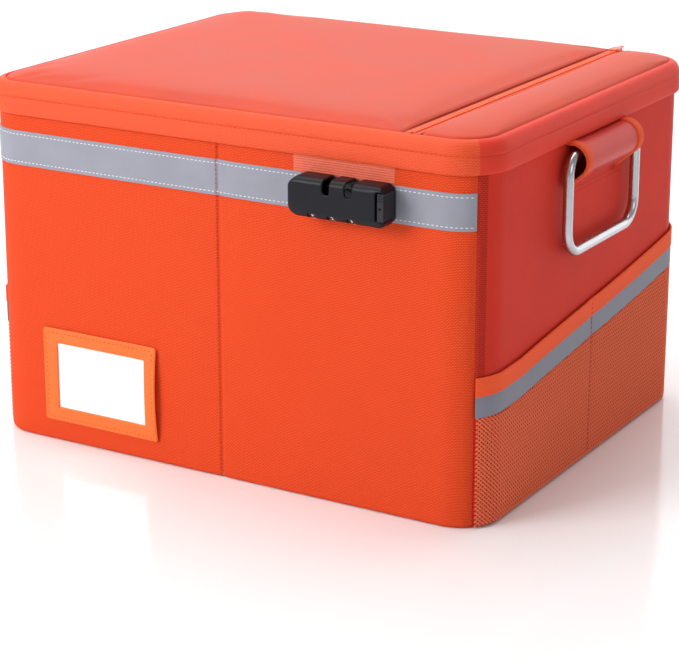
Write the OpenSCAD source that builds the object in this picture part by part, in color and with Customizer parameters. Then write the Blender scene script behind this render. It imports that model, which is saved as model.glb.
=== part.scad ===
// Fireproof document box: a fabric-covered box with a zipped lid, a combination lock for the
// zip pulls, ring handles in fabric sleeves and a mesh pocket on each end.
// +X runs right along the long front face, +Y runs to the back, +Z is up.
// The origin is the middle of the base, at the floor.

/* [Box] */
// Width along the front face
body_w = 400; // [360:1:440]
// Depth from front to back
body_d = 330; // [330:1:360]
// Radius of the upright corners
corner_r = 30; // [26:1:36]
// Height of the walls under the rim binding
wall_h = 242; // [236:1:260]
// Thickness of the outer fabric
skin_t = 1.6; // [1.2:0.1:2]
// Thickness of the stiffening boards
board_t = 2.4; // [2:0.1:3]
// Thickness of the fireproof liner
liner_t = 1.0; // [0.8:0.1:1.2]
// Height of the binding round the rim
binding_h = 2; // [1.5:0.5:3]

/* [Lid] */
// Height from the floor to the middle of the crowned top
total_h = 267.5; // [266:0.5:270]
// Height of the skirt's lower edge
skirt_z = 240; // [238:0.5:240]
// How far the skirt's outer face stands out from the walls
skirt_out = 3.2; // [3.2:0.1:4]
// Thickness of the skirt
skirt_t = 1.4; // [1:0.1:1.4]
// Height of the seam between the top panel and the skirt
crease_z = 262.5; // [261:0.5:263]
// Radius of the shallow crown on the top panel
crown_r = 6800; // [6000:100:9000]
// Distance of the lid pocket's zip from the middle
lid_zip_x = 145; // [138:1:158]
// Width of the channel that the lid pocket's zip lies in
lid_zip_w = 14; // [10:0.5:16]

/* [Front] */
// Lower edge of the reflective strip
strip_z = 203; // [200:1:204]
// Height of the reflective strip
strip_h = 25; // [24:1:26]
// Width of the label pocket
label_w = 99; // [90:1:104]
// Height of the label pocket
label_h = 70; // [66:1:74]

/* [Lock] */
// Length of the lock case
lock_w = 73.6; // [73:0.2:75]
// Height of the lock case
lock_h = 27.6; // [27:0.2:28]
// How far the lock stands out from the front face
lock_d = 18; // [17.6:0.1:18.4]
// Middle of the lock, measured from the middle of the front
lock_x = 101.2; // [96:0.2:104]
// Height of the lock's middle
lock_z = 216; // [215:0.5:217]
// Travel of the release slide
release_travel = 6; // [5.8:0.1:6.2]

/* [Handles] */
// Diameter of the ring's rod
rod_d = 7.2; // [6.8:0.1:7.4]
// Distance between the middles of the ring's legs
ring_w = 110; // [104:1:114]
// Distance between the middles of the ring's bars
ring_h = 68; // [60:1:70]
// Length of the fabric sleeve
sleeve_w = 92; // [84:1:92]

/* [Pockets] */
// Height of the pocket's top edge at the front corner
pocket_front_z = 104; // [96:1:110]
// Height of the pocket's top edge at the back corner
pocket_back_z = 139; // [130:1:144]
// Height of the elastic band
elastic_h = 13; // [11:0.5:14]
// Height of the reflective band under the elastic
reflector_h = 14.5; // [12:0.5:16]

/* [Hidden] */
$fn = 64;

wedge_h = total_h + 30;
cut = 1;                                   // how far a cutting solid runs past a face
slack = 0.1;                               // gap between pieces that lie in a sewn pocket
half_w = body_w / 2;
half_d = body_d / 2;
arc_x = half_w - corner_r;                 // centres of the corner arcs
arc_y = half_d - corner_r;
wall_t = skin_t + board_t + liner_t;
floor_z = skin_t + board_t;                // where the side boards and the liner stand
rim_z = wall_h + binding_h;

// Rim zip: the tape stands on the binding, in the middle of the wall
tape_out = -1.7;
tape_t = 0.6;
coil_out = -1.1;
coil_t = 1.8;
coil_h = 1.9;
lower_coil_z = rim_z + 2.4;
upper_coil_z = lower_coil_z + coil_h + 1.4;
lid_under_z = 254;
hinge_w = 196;
hinge_low_z = 206;
zip_end_x = 100;
slider_x = 106;
slider_l = 10;

// Lid
cover_t = 1.2;
lid_liner_t = 1;
lid_board_t = 2.4;
lid_in = skirt_out - skirt_t - 0.2;        // outline of what lies inside the skirt
lid_board_z = lid_under_z + lid_liner_t;
foam_z = lid_board_z + lid_board_t;
groove_z = 261.6;
crown_steps = 8;

// Front
strip_t = 0.6;
label_x = -102.5;
label_z = 51;
label_t = 2;
window_w = 76;
window_h = 49;
card_w = 88;
card_h = 55;
patch_left = 60;
patch_right = 136;

// Lock
lock_left = lock_x - lock_w / 2;
lock_right = lock_x + lock_w / 2;
lock_low = lock_z - lock_h / 2;
lock_top = lock_z + lock_h / 2;
lock_face_y = -half_d - lock_d;
case_back_y = -half_d - strip_t - 1;
slot_xs = [lock_x - 6.4, lock_x + 10.3];
slot_w = 5.2;
slot_floor_z = lock_top - 10.2;
dial_xs = [lock_x - 17.2, lock_x - 2.4, lock_x + 12.3];
dial_r = 6.6;
dial_t = 5;
shaft_r = 1.5;
shaft_y = lock_face_y + 7.6;
shaft_z = lock_low + 6;
screw_xs = [lock_left + 12, lock_right - 12];
screw_r = 1.5;
cavity_left = lock_left + 5.6;
cavity_right = lock_right - 8;
recess_left = lock_right - 6.4;
recess_low = lock_z - 8.8;
recess_top = lock_z + 10.2;
bolt_y = case_back_y - 3.6;
bolt_z = lock_top - 6;
pin_y = lock_face_y + 8;
button_left = lock_right - 4.6;
pin_r = 1.1;
pin_far = 4;                               // where a pin is carried, from its slot's middle
pin_tip = slot_w / 2 + 0.4 - release_travel;
lug_t = 1.6;
spring_x0 = slot_xs[1] + pin_far + lug_t;
spring_x1 = cavity_right;
spring_r = 1.5;
spring_wire_r = 0.25;
spring_turns = 6;
spring_steps = 14;
spring_sides = 6;

// Hanging-file rails
rail_l = 336;
rail_z = 230;
flange_t = 1.2;
rivet_xs = [-140, -50, 50, 140];
rivet_z = 237;

// Handles
bar_x = half_w + 7;
bar_z = 232;
ring_corner_r = 14;
sleeve_x = half_w + 4.5;
sleeve_z = 227;
sleeve_r = 12;
sleeve_t = 1.6;
edge_w = 7;

// Pockets
pocket_in = 1.0;
pocket_out = 1.8;
pocket_low_z = 0.6;
pocket_tall = 160;                         // taller than the pocket's top edge anywhere

// ---- shared shapes ----

// Rounded outline of the box, grown by a distance
module outline(grow) {
    w = body_w + 2 * grow;
    d = body_d + 2 * grow;
    r = corner_r + grow;
    square([w - 2 * r, d], center = true);
    square([w, d - 2 * r], center = true);
    for (sx = [-1, 1], sy = [-1, 1]) translate([sx * arc_x, sy * arc_y]) circle(r = r);
}

module slab(grow, z0, z1) {
    translate([0, 0, z0]) linear_extrude(z1 - z0) outline(grow);
}

module band(outer, inner, z0, z1) {
    difference() {
        slab(outer, z0, z1);
        slab(inner, z0 - cut, z1 + cut);
    }
}

// Wedges that share the walls out between the panels, with the seams at the corners
module front_wedge() {
    k = corner_r + 20;
    linear_extrude(wedge_h) polygon([
        [-arc_x, -arc_y], [arc_x, -arc_y], [arc_x + k, -arc_y - k], [-arc_x - k, -arc_y - k]
    ]);
}

module right_wedge() {
    k = corner_r + 20;
    linear_extrude(wedge_h) polygon([
        [arc_x, -arc_y], [arc_x + k, -arc_y - k], [arc_x + k, arc_y + k], [arc_x, arc_y]
    ]);
}

// A hole or shaft along Y
module y_rod(x, z, y0, y1, r) {
    translate([x, y1, z]) rotate([90, 0, 0]) cylinder(h = y1 - y0, r = r);
}

module x_rod(x0, x1, y, z, r) {
    translate([x0, y, z]) rotate([0, 90, 0]) cylinder(h = x1 - x0, r = r);
}

module block(x0, x1, y0, y1, z0, z1) {
    translate([x0, y0, z0]) cube([x1 - x0, y1 - y0, z1 - z0]);
}

module lock_screw_holes() {
    for (x = screw_xs) y_rod(x, lock_z, lock_face_y, -half_d + wall_t + 3, screw_r + slack);
}

module rail_rivet_holes(side) {
    y0 = side * half_d - wall_t - 3;
    for (x = rivet_xs) y_rod(x, rivet_z, y0, y0 + 2 * wall_t + 6, screw_r + slack);
}

module mirrored_x() {
    mirror([1, 0, 0]) children();
}

// ---- walls and base ----

module front_panel() {
    color("orangered") difference() {
        intersection() {
            band(0, -skin_t, skin_t, wall_h);
            front_wedge();
        }
        lock_screw_holes();
    }
}

module back_panel() {
    color("orangered") intersection() {
        band(0, -skin_t, skin_t, wall_h);
        mirror([0, 1, 0]) front_wedge();
    }
}

module side_panel_right() {
    color("firebrick") intersection() {
        band(0, -skin_t, skin_t, wall_h);
        right_wedge();
    }
}

module side_panel_left() {
    mirrored_x() side_panel_right();
}

module base_panel() {
    color("firebrick") slab(0, 0, skin_t);
}

module front_board_right() {
    y0 = -half_d + skin_t;
    color("tan") difference() {
        block(0.5, arc_x, y0 + slack, y0 + board_t - slack, floor_z, wall_h);
        lock_screw_holes();
        rail_rivet_holes(-1);
    }
}

module front_board_left() {
    y0 = -half_d + skin_t;
    color("tan") difference() {
        block(-arc_x, -0.5, y0 + slack, y0 + board_t - slack, floor_z, wall_h);
        rail_rivet_holes(-1);
    }
}

module back_board() {
    y1 = half_d - skin_t;
    color("tan") difference() {
        block(-arc_x, arc_x, y1 - board_t + slack, y1 - slack, floor_z, wall_h);
        rail_rivet_holes(1);
    }
}

module side_board_right() {
    x1 = half_w - skin_t;
    color("tan") block(x1 - board_t + slack, x1 - slack, -arc_y, arc_y, floor_z, wall_h);
}

module side_board_left() {
    mirrored_x() side_board_right();
}

module base_board() {
    color("tan") slab(-skin_t - slack, skin_t, floor_z);
}

module inner_liner() {
    color("silver") difference() {
        slab(-wall_t + liner_t, floor_z, wall_h);
        slab(-wall_t, floor_z + liner_t, wall_h + cut);
        lock_screw_holes();
        rail_rivet_holes(-1);
        rail_rivet_holes(1);
    }
}

module rim_binding() {
    color("orangered") band(0, -wall_t, wall_h, rim_z);
}

module hinge_strip() {
    color("orangered") block(-hinge_w / 2, hinge_w / 2, half_d, half_d + skin_t, hinge_low_z,
        skirt_z - 0.3);
}

// ---- front trim ----

module front_reflector() {
    color("lightslategray") difference() {
        intersection() {
            band(strip_t, 0, strip_z, strip_z + strip_h);
            front_wedge();
        }
        lock_screw_holes();
    }
}

module lock_patch() {
    color("salmon") block(patch_left, patch_right, -half_d - 0.5, -half_d, strip_z + strip_h, wall_h);
}

module label_frame() {
    x0 = label_x - label_w / 2;
    z0 = label_z - label_h / 2;
    color("coral") difference() {
        block(x0, x0 + label_w, -half_d - label_t, -half_d, z0, z0 + label_h);
        block(label_x - window_w / 2, label_x + window_w / 2, -half_d - label_t - cut, -half_d,
              label_z - window_h / 2, label_z + window_h / 2);
        block(label_x - card_w / 2 - 1, x0 + label_w + cut, -half_d - 1.2, -half_d + cut,
              label_z - card_h / 2 - 0.6, label_z + card_h / 2 + 0.6);
    }
}

module label_window() {
    color("white", 0.35) block(label_x - card_w / 2, label_x + card_w / 2, -half_d - 1.2,
        -half_d - 0.9, label_z - card_h / 2, label_z + card_h / 2);
}

module label_card() {
    color("white") block(label_x - card_w / 2 + 0.5, label_x + card_w / 2 + 0.5, -half_d - 0.7,
        -half_d - 0.3, label_z - card_h / 2, label_z + card_h / 2);
}

// ---- hanging-file rails inside ----

// Flange against the liner, shelf, and a lip that the folder hooks ride on
module front_rail() {
    y0 = -half_d + wall_t;
    shelf = 9;
    rail_t = 1.5;
    color("whitesmoke") difference() {
        union() {
            block(-rail_l / 2, rail_l / 2, y0, y0 + flange_t, rail_z, rail_z + 11.5);
            block(-rail_l / 2, rail_l / 2, y0, y0 + shelf, rail_z, rail_z + rail_t);
            block(-rail_l / 2, rail_l / 2, y0 + shelf - rail_t, y0 + shelf, rail_z, rail_z + 10);
        }
        rail_rivet_holes(-1);
    }
}

module back_rail() {
    mirror([0, 1, 0]) front_rail();
}

module rail_rivets() {
    head_y = half_d - wall_t - flange_t;
    color("silver") for (flip = [0, 1], x = rivet_xs) mirror([0, flip, 0]) {
        y_rod(x, rivet_z, head_y, half_d - skin_t - slack, screw_r);
        y_rod(x, rivet_z, head_y - 1.2, head_y, 3);
    }
}

// ---- combination lock ----

module lock_inner_plate() {
    y0 = -half_d + wall_t;
    color("silver") difference() {
        block(lock_left + 3, lock_right - 3, y0, y0 + 1, lock_z - 10, lock_z + 10);
        lock_screw_holes();
    }
}

module lock_screws() {
    y0 = -half_d + wall_t + 1;
    color("silver") for (x = screw_xs) {
        y_rod(x, lock_z, case_back_y - 2, y0, screw_r);
        y_rod(x, lock_z, y0, y0 + 1.6, 3);
    }
}

module lock_mount_plate() {
    color("dimgray") difference() {
        block(lock_left + 2, lock_right - 2, case_back_y, -half_d - strip_t, lock_low + 2, lock_top - 2);
        lock_screw_holes();
    }
}

// Front view, side view and top view of the case, each with its own rounded corners
module case_front_view() {
    big_r = 9;
    small_r = 4;
    union() {
        translate([lock_left + big_r, lock_low]) square([lock_w - big_r - small_r, lock_h]);
        translate([lock_left, lock_low + big_r]) square([big_r, lock_h - 2 * big_r]);
        translate([lock_right - small_r, lock_low + small_r]) square([small_r, lock_h - 2 * small_r]);
        for (z = [lock_low + big_r, lock_top - big_r]) translate([lock_left + big_r, z]) circle(r = big_r);
        for (z = [lock_low + small_r, lock_top - small_r]) {
            translate([lock_right - small_r, z]) circle(r = small_r);
        }
    }
}

// Depth is measured from the case's back, so the front corners are the rounded ones
module case_end_view(length, front_r) {
    depth = case_back_y - lock_face_y;
    square([depth - front_r, length]);
    translate([0, front_r]) square([depth, length - 2 * front_r]);
    for (v = [front_r, length - front_r]) translate([depth - front_r, v]) circle(r = front_r);
}

module case_block() {
    intersection() {
        translate([0, case_back_y, 0]) rotate([90, 0, 0]) linear_extrude(lock_d) case_front_view();
        translate([lock_left, case_back_y, lock_low]) rotate([90, 0, -90]) mirror([0, 0, 1])
            linear_extrude(lock_w) case_end_view(lock_h, 4);
        translate([lock_left, case_back_y, lock_low]) mirror([0, 1, 0]) linear_extrude(lock_h)
            mirror([1, -1, 0]) case_end_view(lock_w, 3);
    }
}

module slot_cut(x) {
    r = slot_w / 2;
    translate([x, case_back_y + cut, 0]) rotate([90, 0, 0]) linear_extrude(lock_d + 2) {
        translate([0, slot_floor_z + r]) circle(r = r);
        translate([-r, slot_floor_z + r]) square([slot_w, 20]);
    }
}

module lock_case() {
    back_y = case_back_y + cut;
    dial_half = dial_t / 2 + 0.5;
    color("#2b2b33") difference() {
        case_block();
        block(cavity_left, cavity_right, lock_face_y + 2, back_y, lock_low + 2.2, lock_top - 2);
        for (x = slot_xs) slot_cut(x);
        for (x = dial_xs) {
            block(x - dial_half, x + dial_half, lock_face_y + 0.6, shaft_y + 8, lock_low - cut,
                  shaft_z + dial_r + 0.4);
            block(x - dial_half, x + dial_half, lock_face_y - cut, shaft_y, lock_low - cut, lock_low + 3.4);
        }
        block(recess_left, lock_right + cut, lock_face_y - cut, bolt_y + 1.6, recess_low, recess_top);
        block(cavity_right - cut, recess_left + cut, bolt_y - 1.2, bolt_y + 1.2, bolt_z - 1.8, bolt_z + 1.8);
    }
}

// Frame that carries the dial shaft and backs the bolt
module lock_chassis() {
    cheek_ys = [shaft_y - 3, case_back_y - 1.6];
    color("dimgray") difference() {
        union() {
            block(cavity_left + 0.4, cavity_right - 0.4, case_back_y - 1.6, case_back_y,
                  lock_low + 2.4, lock_top - 2.4);
            for (x = [dial_xs[0] - 7, dial_xs[2] + 5]) {
                block(x, x + 2, cheek_ys[0], cheek_ys[1], lock_low + 2.4, shaft_z + 3);
            }
        }
        for (x = slot_xs) slot_cut(x);
        lock_screw_holes();
        x_rod(cavity_left, cavity_right, shaft_y, shaft_z, shaft_r + 0.02);
    }
}

module dial_shaft() {
    color("silver") x_rod(dial_xs[0] - 7, dial_xs[2] + 7, shaft_y, shaft_z, shaft_r);
}

// Ten flats for the digits, with their corners turned down
module dial(x) {
    color("#1c1c20") difference() {
        intersection() {
            translate([x - dial_t / 2, shaft_y, shaft_z]) rotate([0, 90, 0]) cylinder(h = dial_t, r = dial_r);
            translate([x - dial_t / 2, shaft_y, shaft_z]) rotate([0, 90, 0])
                cylinder(h = dial_t, r = dial_r * 1.03, $fn = 10);
        }
        x_rod(x - dial_t, x + dial_t, shaft_y, shaft_z, shaft_r + 0.05);
    }
}

module dial_1() {
    dial(dial_xs[0]);
}

module dial_2() {
    dial(dial_xs[1]);
}

module dial_3() {
    dial(dial_xs[2]);
}

module release_button() {
    rib_zs = [recess_top - 1.6, recess_top - 3.2, recess_top - 4.8];
    color("#4a4a50") difference() {
        block(button_left, lock_right - slack, lock_face_y - 0.2, bolt_y + 1.2,
              recess_low + 0.4, recess_top - 0.4);
        for (z = rib_zs) {
            block(button_left - cut, lock_right, lock_face_y - cut, lock_face_y + 0.4, z - 0.5, z);
        }
        y_rod(button_left + 2, lock_z, lock_face_y - cut, lock_face_y + 2, 0.8);
    }
}

// Bar with one hooked pin for each zip pull
module lock_bolt() {
    bar_t = 0.8;
    lug_r = 1.4;
    color("gainsboro") union() {
        block(slot_xs[0] + pin_far, button_left, bolt_y - bar_t, bolt_y + bar_t,
              bolt_z - lug_r, bolt_z + lug_r);
        for (x = slot_xs) {
            block(x + pin_far, x + pin_far + lug_t, pin_y - lug_r, bolt_y + bar_t,
                  bolt_z - lug_r, bolt_z + lug_r);
            x_rod(x + pin_tip, x + pin_far, pin_y, bolt_z, pin_r);
        }
    }
}

// Compression spring between the bolt's second lug and the end of the cavity
function spring_point(i) = let (a = 360 * i / spring_steps, t = i / (spring_turns * spring_steps))
    [spring_x0 + spring_wire_r + (spring_x1 - spring_x0 - 2 * spring_wire_r) * t,
     pin_y + spring_r * cos(a), bolt_z + spring_r * sin(a)];

function spring_ring(i) = let (a = 360 * i / spring_steps, p = spring_point(i)) [
    for (k = [0 : spring_sides - 1]) let (b = 360 * k / spring_sides)
        p + spring_wire_r * [sin(b), cos(b) * cos(a), cos(b) * sin(a)]
];

module release_spring() {
    n = spring_turns * spring_steps;
    s = spring_sides;
    points = [for (i = [0 : n], p = spring_ring(i)) p];
    sides = [for (i = [0 : n - 1], k = [0 : s - 1])
        [i * s + k, i * s + (k + 1) % s, (i + 1) * s + (k + 1) % s, (i + 1) * s + k]];
    first = [for (k = [s - 1 : -1 : 0]) k];
    last = [for (k = [0 : s - 1]) n * s + k];
    color("silver") polyhedron(points, concat(sides, [first, last]));
}

// ---- handles ----

// Outer or inner shape of the fabric loop: round the ring's bar, and on a tangent down to the wall
module sleeve_core(r, length) {
    lean = 50;
    reach = r - 0.03;                      // the straight runs meet the round end without a sliver
    touch = [sleeve_x + reach * cos(lean), sleeve_z - reach * sin(lean)];
    run = (touch[0] - half_w + cut) / sin(lean);
    translate([sleeve_x, length / 2, sleeve_z]) rotate([90, 0, 0]) cylinder(h = length, r = r);
    translate([0, length / 2, 0]) rotate([90, 0, 0]) linear_extrude(length) polygon([
        [half_w - cut, sleeve_z + reach], [sleeve_x, sleeve_z + reach], touch,
        [half_w - cut, touch[1] - run * cos(lean)]
    ]);
}

module sleeve_loop(outer_r, inner_r, length) {
    intersection() {
        difference() {
            sleeve_core(outer_r, length);
            sleeve_core(inner_r, length + 2 * cut);
        }
        block(half_w, half_w + 2 * sleeve_r + 10, -length, length, 0, skirt_z);
    }
}

module sleeve_right() {
    color("brown") sleeve_loop(sleeve_r, sleeve_r - sleeve_t, sleeve_w);
}

module sleeve_left() {
    mirrored_x() sleeve_right();
}

module sleeve_binding_right() {
    color("orangered") for (s = [-1, 1]) translate([0, s * (sleeve_w - edge_w) / 2, 0])
        sleeve_loop(sleeve_r + 0.8, sleeve_r, edge_w);
}

module sleeve_binding_left() {
    mirrored_x() sleeve_binding_right();
}

// Closed ring of round rod, drawn flat and then stood upright
module handle_ring_right() {
    straight_w = ring_w - 2 * ring_corner_r;
    straight_h = ring_h - 2 * ring_corner_r;
    color("silver") translate([bar_x, 0, bar_z - ring_h / 2]) rotate([90, 0, 90]) {
        for (s = [-1, 1]) {
            translate([-straight_w / 2, s * ring_h / 2, 0]) rotate([0, 90, 0])
                cylinder(h = straight_w, d = rod_d);
            translate([s * ring_w / 2, straight_h / 2, 0]) rotate([90, 0, 0])
                cylinder(h = straight_h, d = rod_d);
        }
        for (i = [0 : 3]) {
            sx = (i == 0 || i == 3) ? 1 : -1;
            sy = i < 2 ? 1 : -1;
            translate([sx * straight_w / 2, sy * straight_h / 2, 0]) rotate([0, 0, 90 * i])
                rotate_extrude(angle = 90) translate([ring_corner_r, 0]) circle(d = rod_d);
        }
    }
}

module handle_ring_left() {
    mirrored_x() handle_ring_right();
}

// ---- mesh pockets ----

// The part of a side between two lines that rise towards the back
module pocket_zone(low_drop, high_drop) {
    rise_y = -110;
    far_y = half_d + 10;
    rise_z = pocket_front_z + 2;
    rotate([90, 0, 90]) linear_extrude(body_w) polygon([
        [-far_y, max(0, pocket_front_z - low_drop)], [rise_y, max(0, rise_z - low_drop)],
        [far_y, max(0, pocket_back_z - low_drop)],
        [far_y, pocket_back_z - high_drop], [rise_y, rise_z - high_drop],
        [-far_y, pocket_front_z - high_drop]
    ]);
}

module pocket_band(low_drop, high_drop) {
    intersection() {
        band(pocket_out, pocket_in, pocket_low_z, pocket_tall);
        right_wedge();
        pocket_zone(low_drop, high_drop);
    }
}

// Mesh with its sewn edges: the base and both corner seams, where it lies against the wall
module mesh_pocket_right() {
    hem = 2.4;
    seam_depth = 10;
    trim_h = elastic_h + reflector_h;
    color("tomato") union() {
        pocket_band(pocket_tall, trim_h);
        intersection() {
            band(pocket_out, 0, pocket_low_z, pocket_tall);
            right_wedge();
            pocket_zone(pocket_tall, trim_h);
            union() {
                slab(pocket_out, pocket_low_z, pocket_low_z + hem);
                for (s = [-1, 1]) translate([arc_x, s * arc_y, 0]) rotate([0, 0, s * 45])
                    translate([corner_r - seam_depth / 2, -hem, 0]) cube([seam_depth, 2 * hem, pocket_tall]);
            }
        }
    }
}

module mesh_pocket_left() {
    mirrored_x() mesh_pocket_right();
}

module pocket_reflector_right() {
    color("lightslategray") pocket_band(elastic_h + reflector_h, elastic_h);
}

module pocket_reflector_left() {
    mirrored_x() pocket_reflector_right();
}

module pocket_elastic_right() {
    color("orangered") pocket_band(elastic_h, 0);
}

module pocket_elastic_left() {
    mirrored_x() pocket_elastic_right();
}

// ---- rim zip ----

// A band round the rim that is left open at the back, where the lid is hinged
module rim_run(out, thick, z0, z1, end_x) {
    difference() {
        band(out, out - thick, z0, z1);
        block(-end_x, end_x, 0, half_d + 10, z0 - cut, z1 + cut);
    }
}

module rim_tape_lower() {
    color("orangered") rim_run(tape_out, tape_t, rim_z, lower_coil_z, zip_end_x);
}

module rim_coil_lower() {
    color("darkorange") rim_run(coil_out, coil_t, lower_coil_z, lower_coil_z + coil_h, zip_end_x);
}

module rim_tape_upper() {
    color("orangered") rim_run(tape_out, tape_t, upper_coil_z + coil_h, lid_under_z, zip_end_x + 12);
}

module rim_coil_upper() {
    color("darkorange") rim_run(coil_out, coil_t, upper_coil_z, upper_coil_z + coil_h, zip_end_x + 12);
}

// Two plates joined by the wedge that parts the coils, and a pull with an eye for the lock's pin
module rim_slider_right() {
    mid_y = half_d + coil_out - coil_t / 2;
    plate_y = coil_t / 2 + 0.2;
    mid_z = (lower_coil_z + coil_h + upper_coil_z) / 2;
    color("dimgray") translate([slider_x, 0, 0]) {
        block(-slider_l / 2, slider_l / 2, mid_y + plate_y, mid_y + plate_y + 1.2, mid_z - 3.6, mid_z + 3.6);
        block(-slider_l / 2, slider_l / 2, mid_y - plate_y - 1.2, mid_y - plate_y, mid_z - 3.6, mid_z + 3.6);
        block(-slider_l / 2, slider_l / 2, mid_y - plate_y, mid_y + plate_y, mid_z - 0.3, mid_z + 0.3);
        translate([0, mid_y + plate_y + 2.2, 0]) rotate([90, 0, 0]) linear_extrude(1) difference() {
            union() {
                translate([-2.2, mid_z - 30]) square([4.4, 31]);
                translate([0, mid_z - 30]) circle(r = 3.4);
            }
            translate([0, mid_z - 30]) circle(r = 1.6);
        }
    }
}

module rim_slider_left() {
    mirrored_x() rim_slider_right();
}

// ---- lid ----

// Everything under the lid's shallow crown, which falls away to all four edges
function crown_arc(half, top_z) = [
    for (i = [-crown_steps : crown_steps]) let (u = half * i / crown_steps) [u, top_z - u * u / (2 * crown_r)]
];

module vault(half, top_z) {
    rotate([90, 0, 0]) linear_extrude(2 * body_w, center = true)
        polygon(concat(crown_arc(half, top_z), [[half, skirt_z], [-half, skirt_z]]));
}

module crown(top_z) {
    intersection() {
        vault(half_w + 10, top_z);
        rotate([0, 0, 90]) vault(half_d + 10, top_z);
    }
}

module lid_groove(half_width, z0) {
    block(lid_zip_x - half_width, lid_zip_x + half_width, -half_d - 10, half_d + 10, z0, z0 + 20);
}

module lid_skirt() {
    color("orangered") band(skirt_out, skirt_out - skirt_t, skirt_z, crease_z);
}

module lid_cover() {
    color("salmon") difference() {
        intersection() {
            slab(skirt_out, crease_z, total_h + 2);
            crown(total_h);
        }
        intersection() {
            slab(skirt_out - skirt_t, crease_z - cut, total_h + 2);
            crown(total_h - cover_t);
        }
        lid_groove(lid_zip_w / 2, crease_z - cut);
    }
}

module lid_foam() {
    color("linen") difference() {
        intersection() {
            slab(lid_in, foam_z, total_h + 2);
            crown(total_h - cover_t - slack);
        }
        lid_groove(lid_zip_w / 2 + 3, groove_z);
    }
}

module lid_board() {
    color("tan") slab(lid_in, lid_board_z, foam_z);
}

module lid_liner() {
    color("silver") slab(lid_in, lid_under_z, lid_board_z);
}

module lid_zip_tape() {
    edge_y = half_d + lid_in;
    color("orangered") block(lid_zip_x - lid_zip_w / 2 - 2.5, lid_zip_x + lid_zip_w / 2 + 2.5,
        -edge_y, edge_y, groove_z, groove_z + 0.6);
}

module lid_zip_coil() {
    edge_y = half_d + lid_in;
    color("darkorange") block(lid_zip_x - 2.2, lid_zip_x + 2.2, -edge_y, edge_y,
        groove_z + 0.6, groove_z + 1.4);
}

// Saddle over the coil, with a pull that lies back over the lid's edge
module lid_slider() {
    mid_y = half_d - 8;
    base_z = groove_z + 0.8;
    color("tomato") translate([lid_zip_x, mid_y, 0]) {
        block(-3.8, 3.8, -5, 5, base_z + 0.9, base_z + 2.1);
        for (s = [-1, 1]) block(s * 3.15 - 0.65, s * 3.15 + 0.65, -5, 5, base_z, base_z + 0.9);
        translate([0, 0, base_z + 2.1]) linear_extrude(0.9) {
            translate([-2, -3]) square([4, 12]);
            translate([0, 9]) circle(r = 2.6);
        }
    }
}

front_panel();
back_panel();
side_panel_right();
side_panel_left();
base_panel();
front_board_right();
front_board_left();
back_board();
side_board_right();
side_board_left();
base_board();
inner_liner();
rim_binding();
front_reflector();
label_frame();
label_window();
label_card();
lock_patch();
front_rail();
back_rail();
rail_rivets();
lock_inner_plate();
lock_screws();
lock_mount_plate();
lock_case();
lock_chassis();
dial_shaft();
dial_1();
dial_2();
dial_3();
release_button();
lock_bolt();
release_spring();
sleeve_right();
sleeve_left();
sleeve_binding_right();
sleeve_binding_left();
handle_ring_right();
handle_ring_left();
mesh_pocket_right();
mesh_pocket_left();
pocket_reflector_right();
pocket_reflector_left();
pocket_elastic_right();
pocket_elastic_left();
rim_tape_lower();
rim_coil_lower();
hinge_strip();
lid_skirt();
lid_cover();
lid_foam();
lid_board();
lid_liner();
rim_tape_upper();
rim_coil_upper();
lid_zip_tape();
lid_zip_coil();
rim_slider_right();
rim_slider_left();
lid_slider();
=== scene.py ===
"""Looks of the fireproof document box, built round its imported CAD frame.

+X runs right along the front, +Y to the back and +Z up. Lengths are in metres.
"""

import math

import bmesh
import bpy
import numpy as np
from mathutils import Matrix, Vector


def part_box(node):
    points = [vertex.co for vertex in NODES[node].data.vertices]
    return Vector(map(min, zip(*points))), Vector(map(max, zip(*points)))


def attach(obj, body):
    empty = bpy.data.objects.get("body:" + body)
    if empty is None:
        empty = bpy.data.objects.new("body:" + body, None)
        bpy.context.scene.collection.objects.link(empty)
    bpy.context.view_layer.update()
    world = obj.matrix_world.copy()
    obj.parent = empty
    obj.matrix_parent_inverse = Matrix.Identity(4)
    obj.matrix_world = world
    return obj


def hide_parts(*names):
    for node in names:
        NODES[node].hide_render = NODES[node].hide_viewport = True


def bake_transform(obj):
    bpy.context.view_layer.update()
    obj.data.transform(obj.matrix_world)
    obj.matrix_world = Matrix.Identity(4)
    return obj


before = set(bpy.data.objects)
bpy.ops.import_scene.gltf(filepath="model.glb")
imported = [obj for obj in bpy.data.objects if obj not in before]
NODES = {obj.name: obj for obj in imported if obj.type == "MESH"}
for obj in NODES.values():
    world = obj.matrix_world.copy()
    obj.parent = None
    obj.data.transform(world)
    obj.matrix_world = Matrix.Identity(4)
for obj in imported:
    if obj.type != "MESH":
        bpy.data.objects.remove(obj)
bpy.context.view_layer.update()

MM = 0.001


# ---- sizes, read from the frame ----

HALF_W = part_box("base_panel")[1].x
HALF_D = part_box("base_panel")[1].y
CORNER_R = 30 * MM
WALL_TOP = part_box("front_panel")[1].z
RIM_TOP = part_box("rim_binding")[1].z
SKIRT_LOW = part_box("lid_skirt")[0].z
CREASE_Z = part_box("lid_skirt")[1].z
LID_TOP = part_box("lid_cover")[1].z
SKIRT_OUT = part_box("lid_skirt")[1].x - HALF_W
LID_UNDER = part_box("lid_liner")[0].z
SKIN_T = 1.6 * MM
CREASE_OUT = -4.6 * MM
PANEL_OUT = CREASE_OUT - 0.9 * MM
SEAM_Z = SKIRT_LOW + 12.4 * MM
ZIP_X = (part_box("lid_zip_tape")[0].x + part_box("lid_zip_tape")[1].x) / 2
ZIP_TAPE_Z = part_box("lid_zip_tape")[1].z
ZIP_COIL_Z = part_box("lid_zip_coil")[1].z

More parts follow.
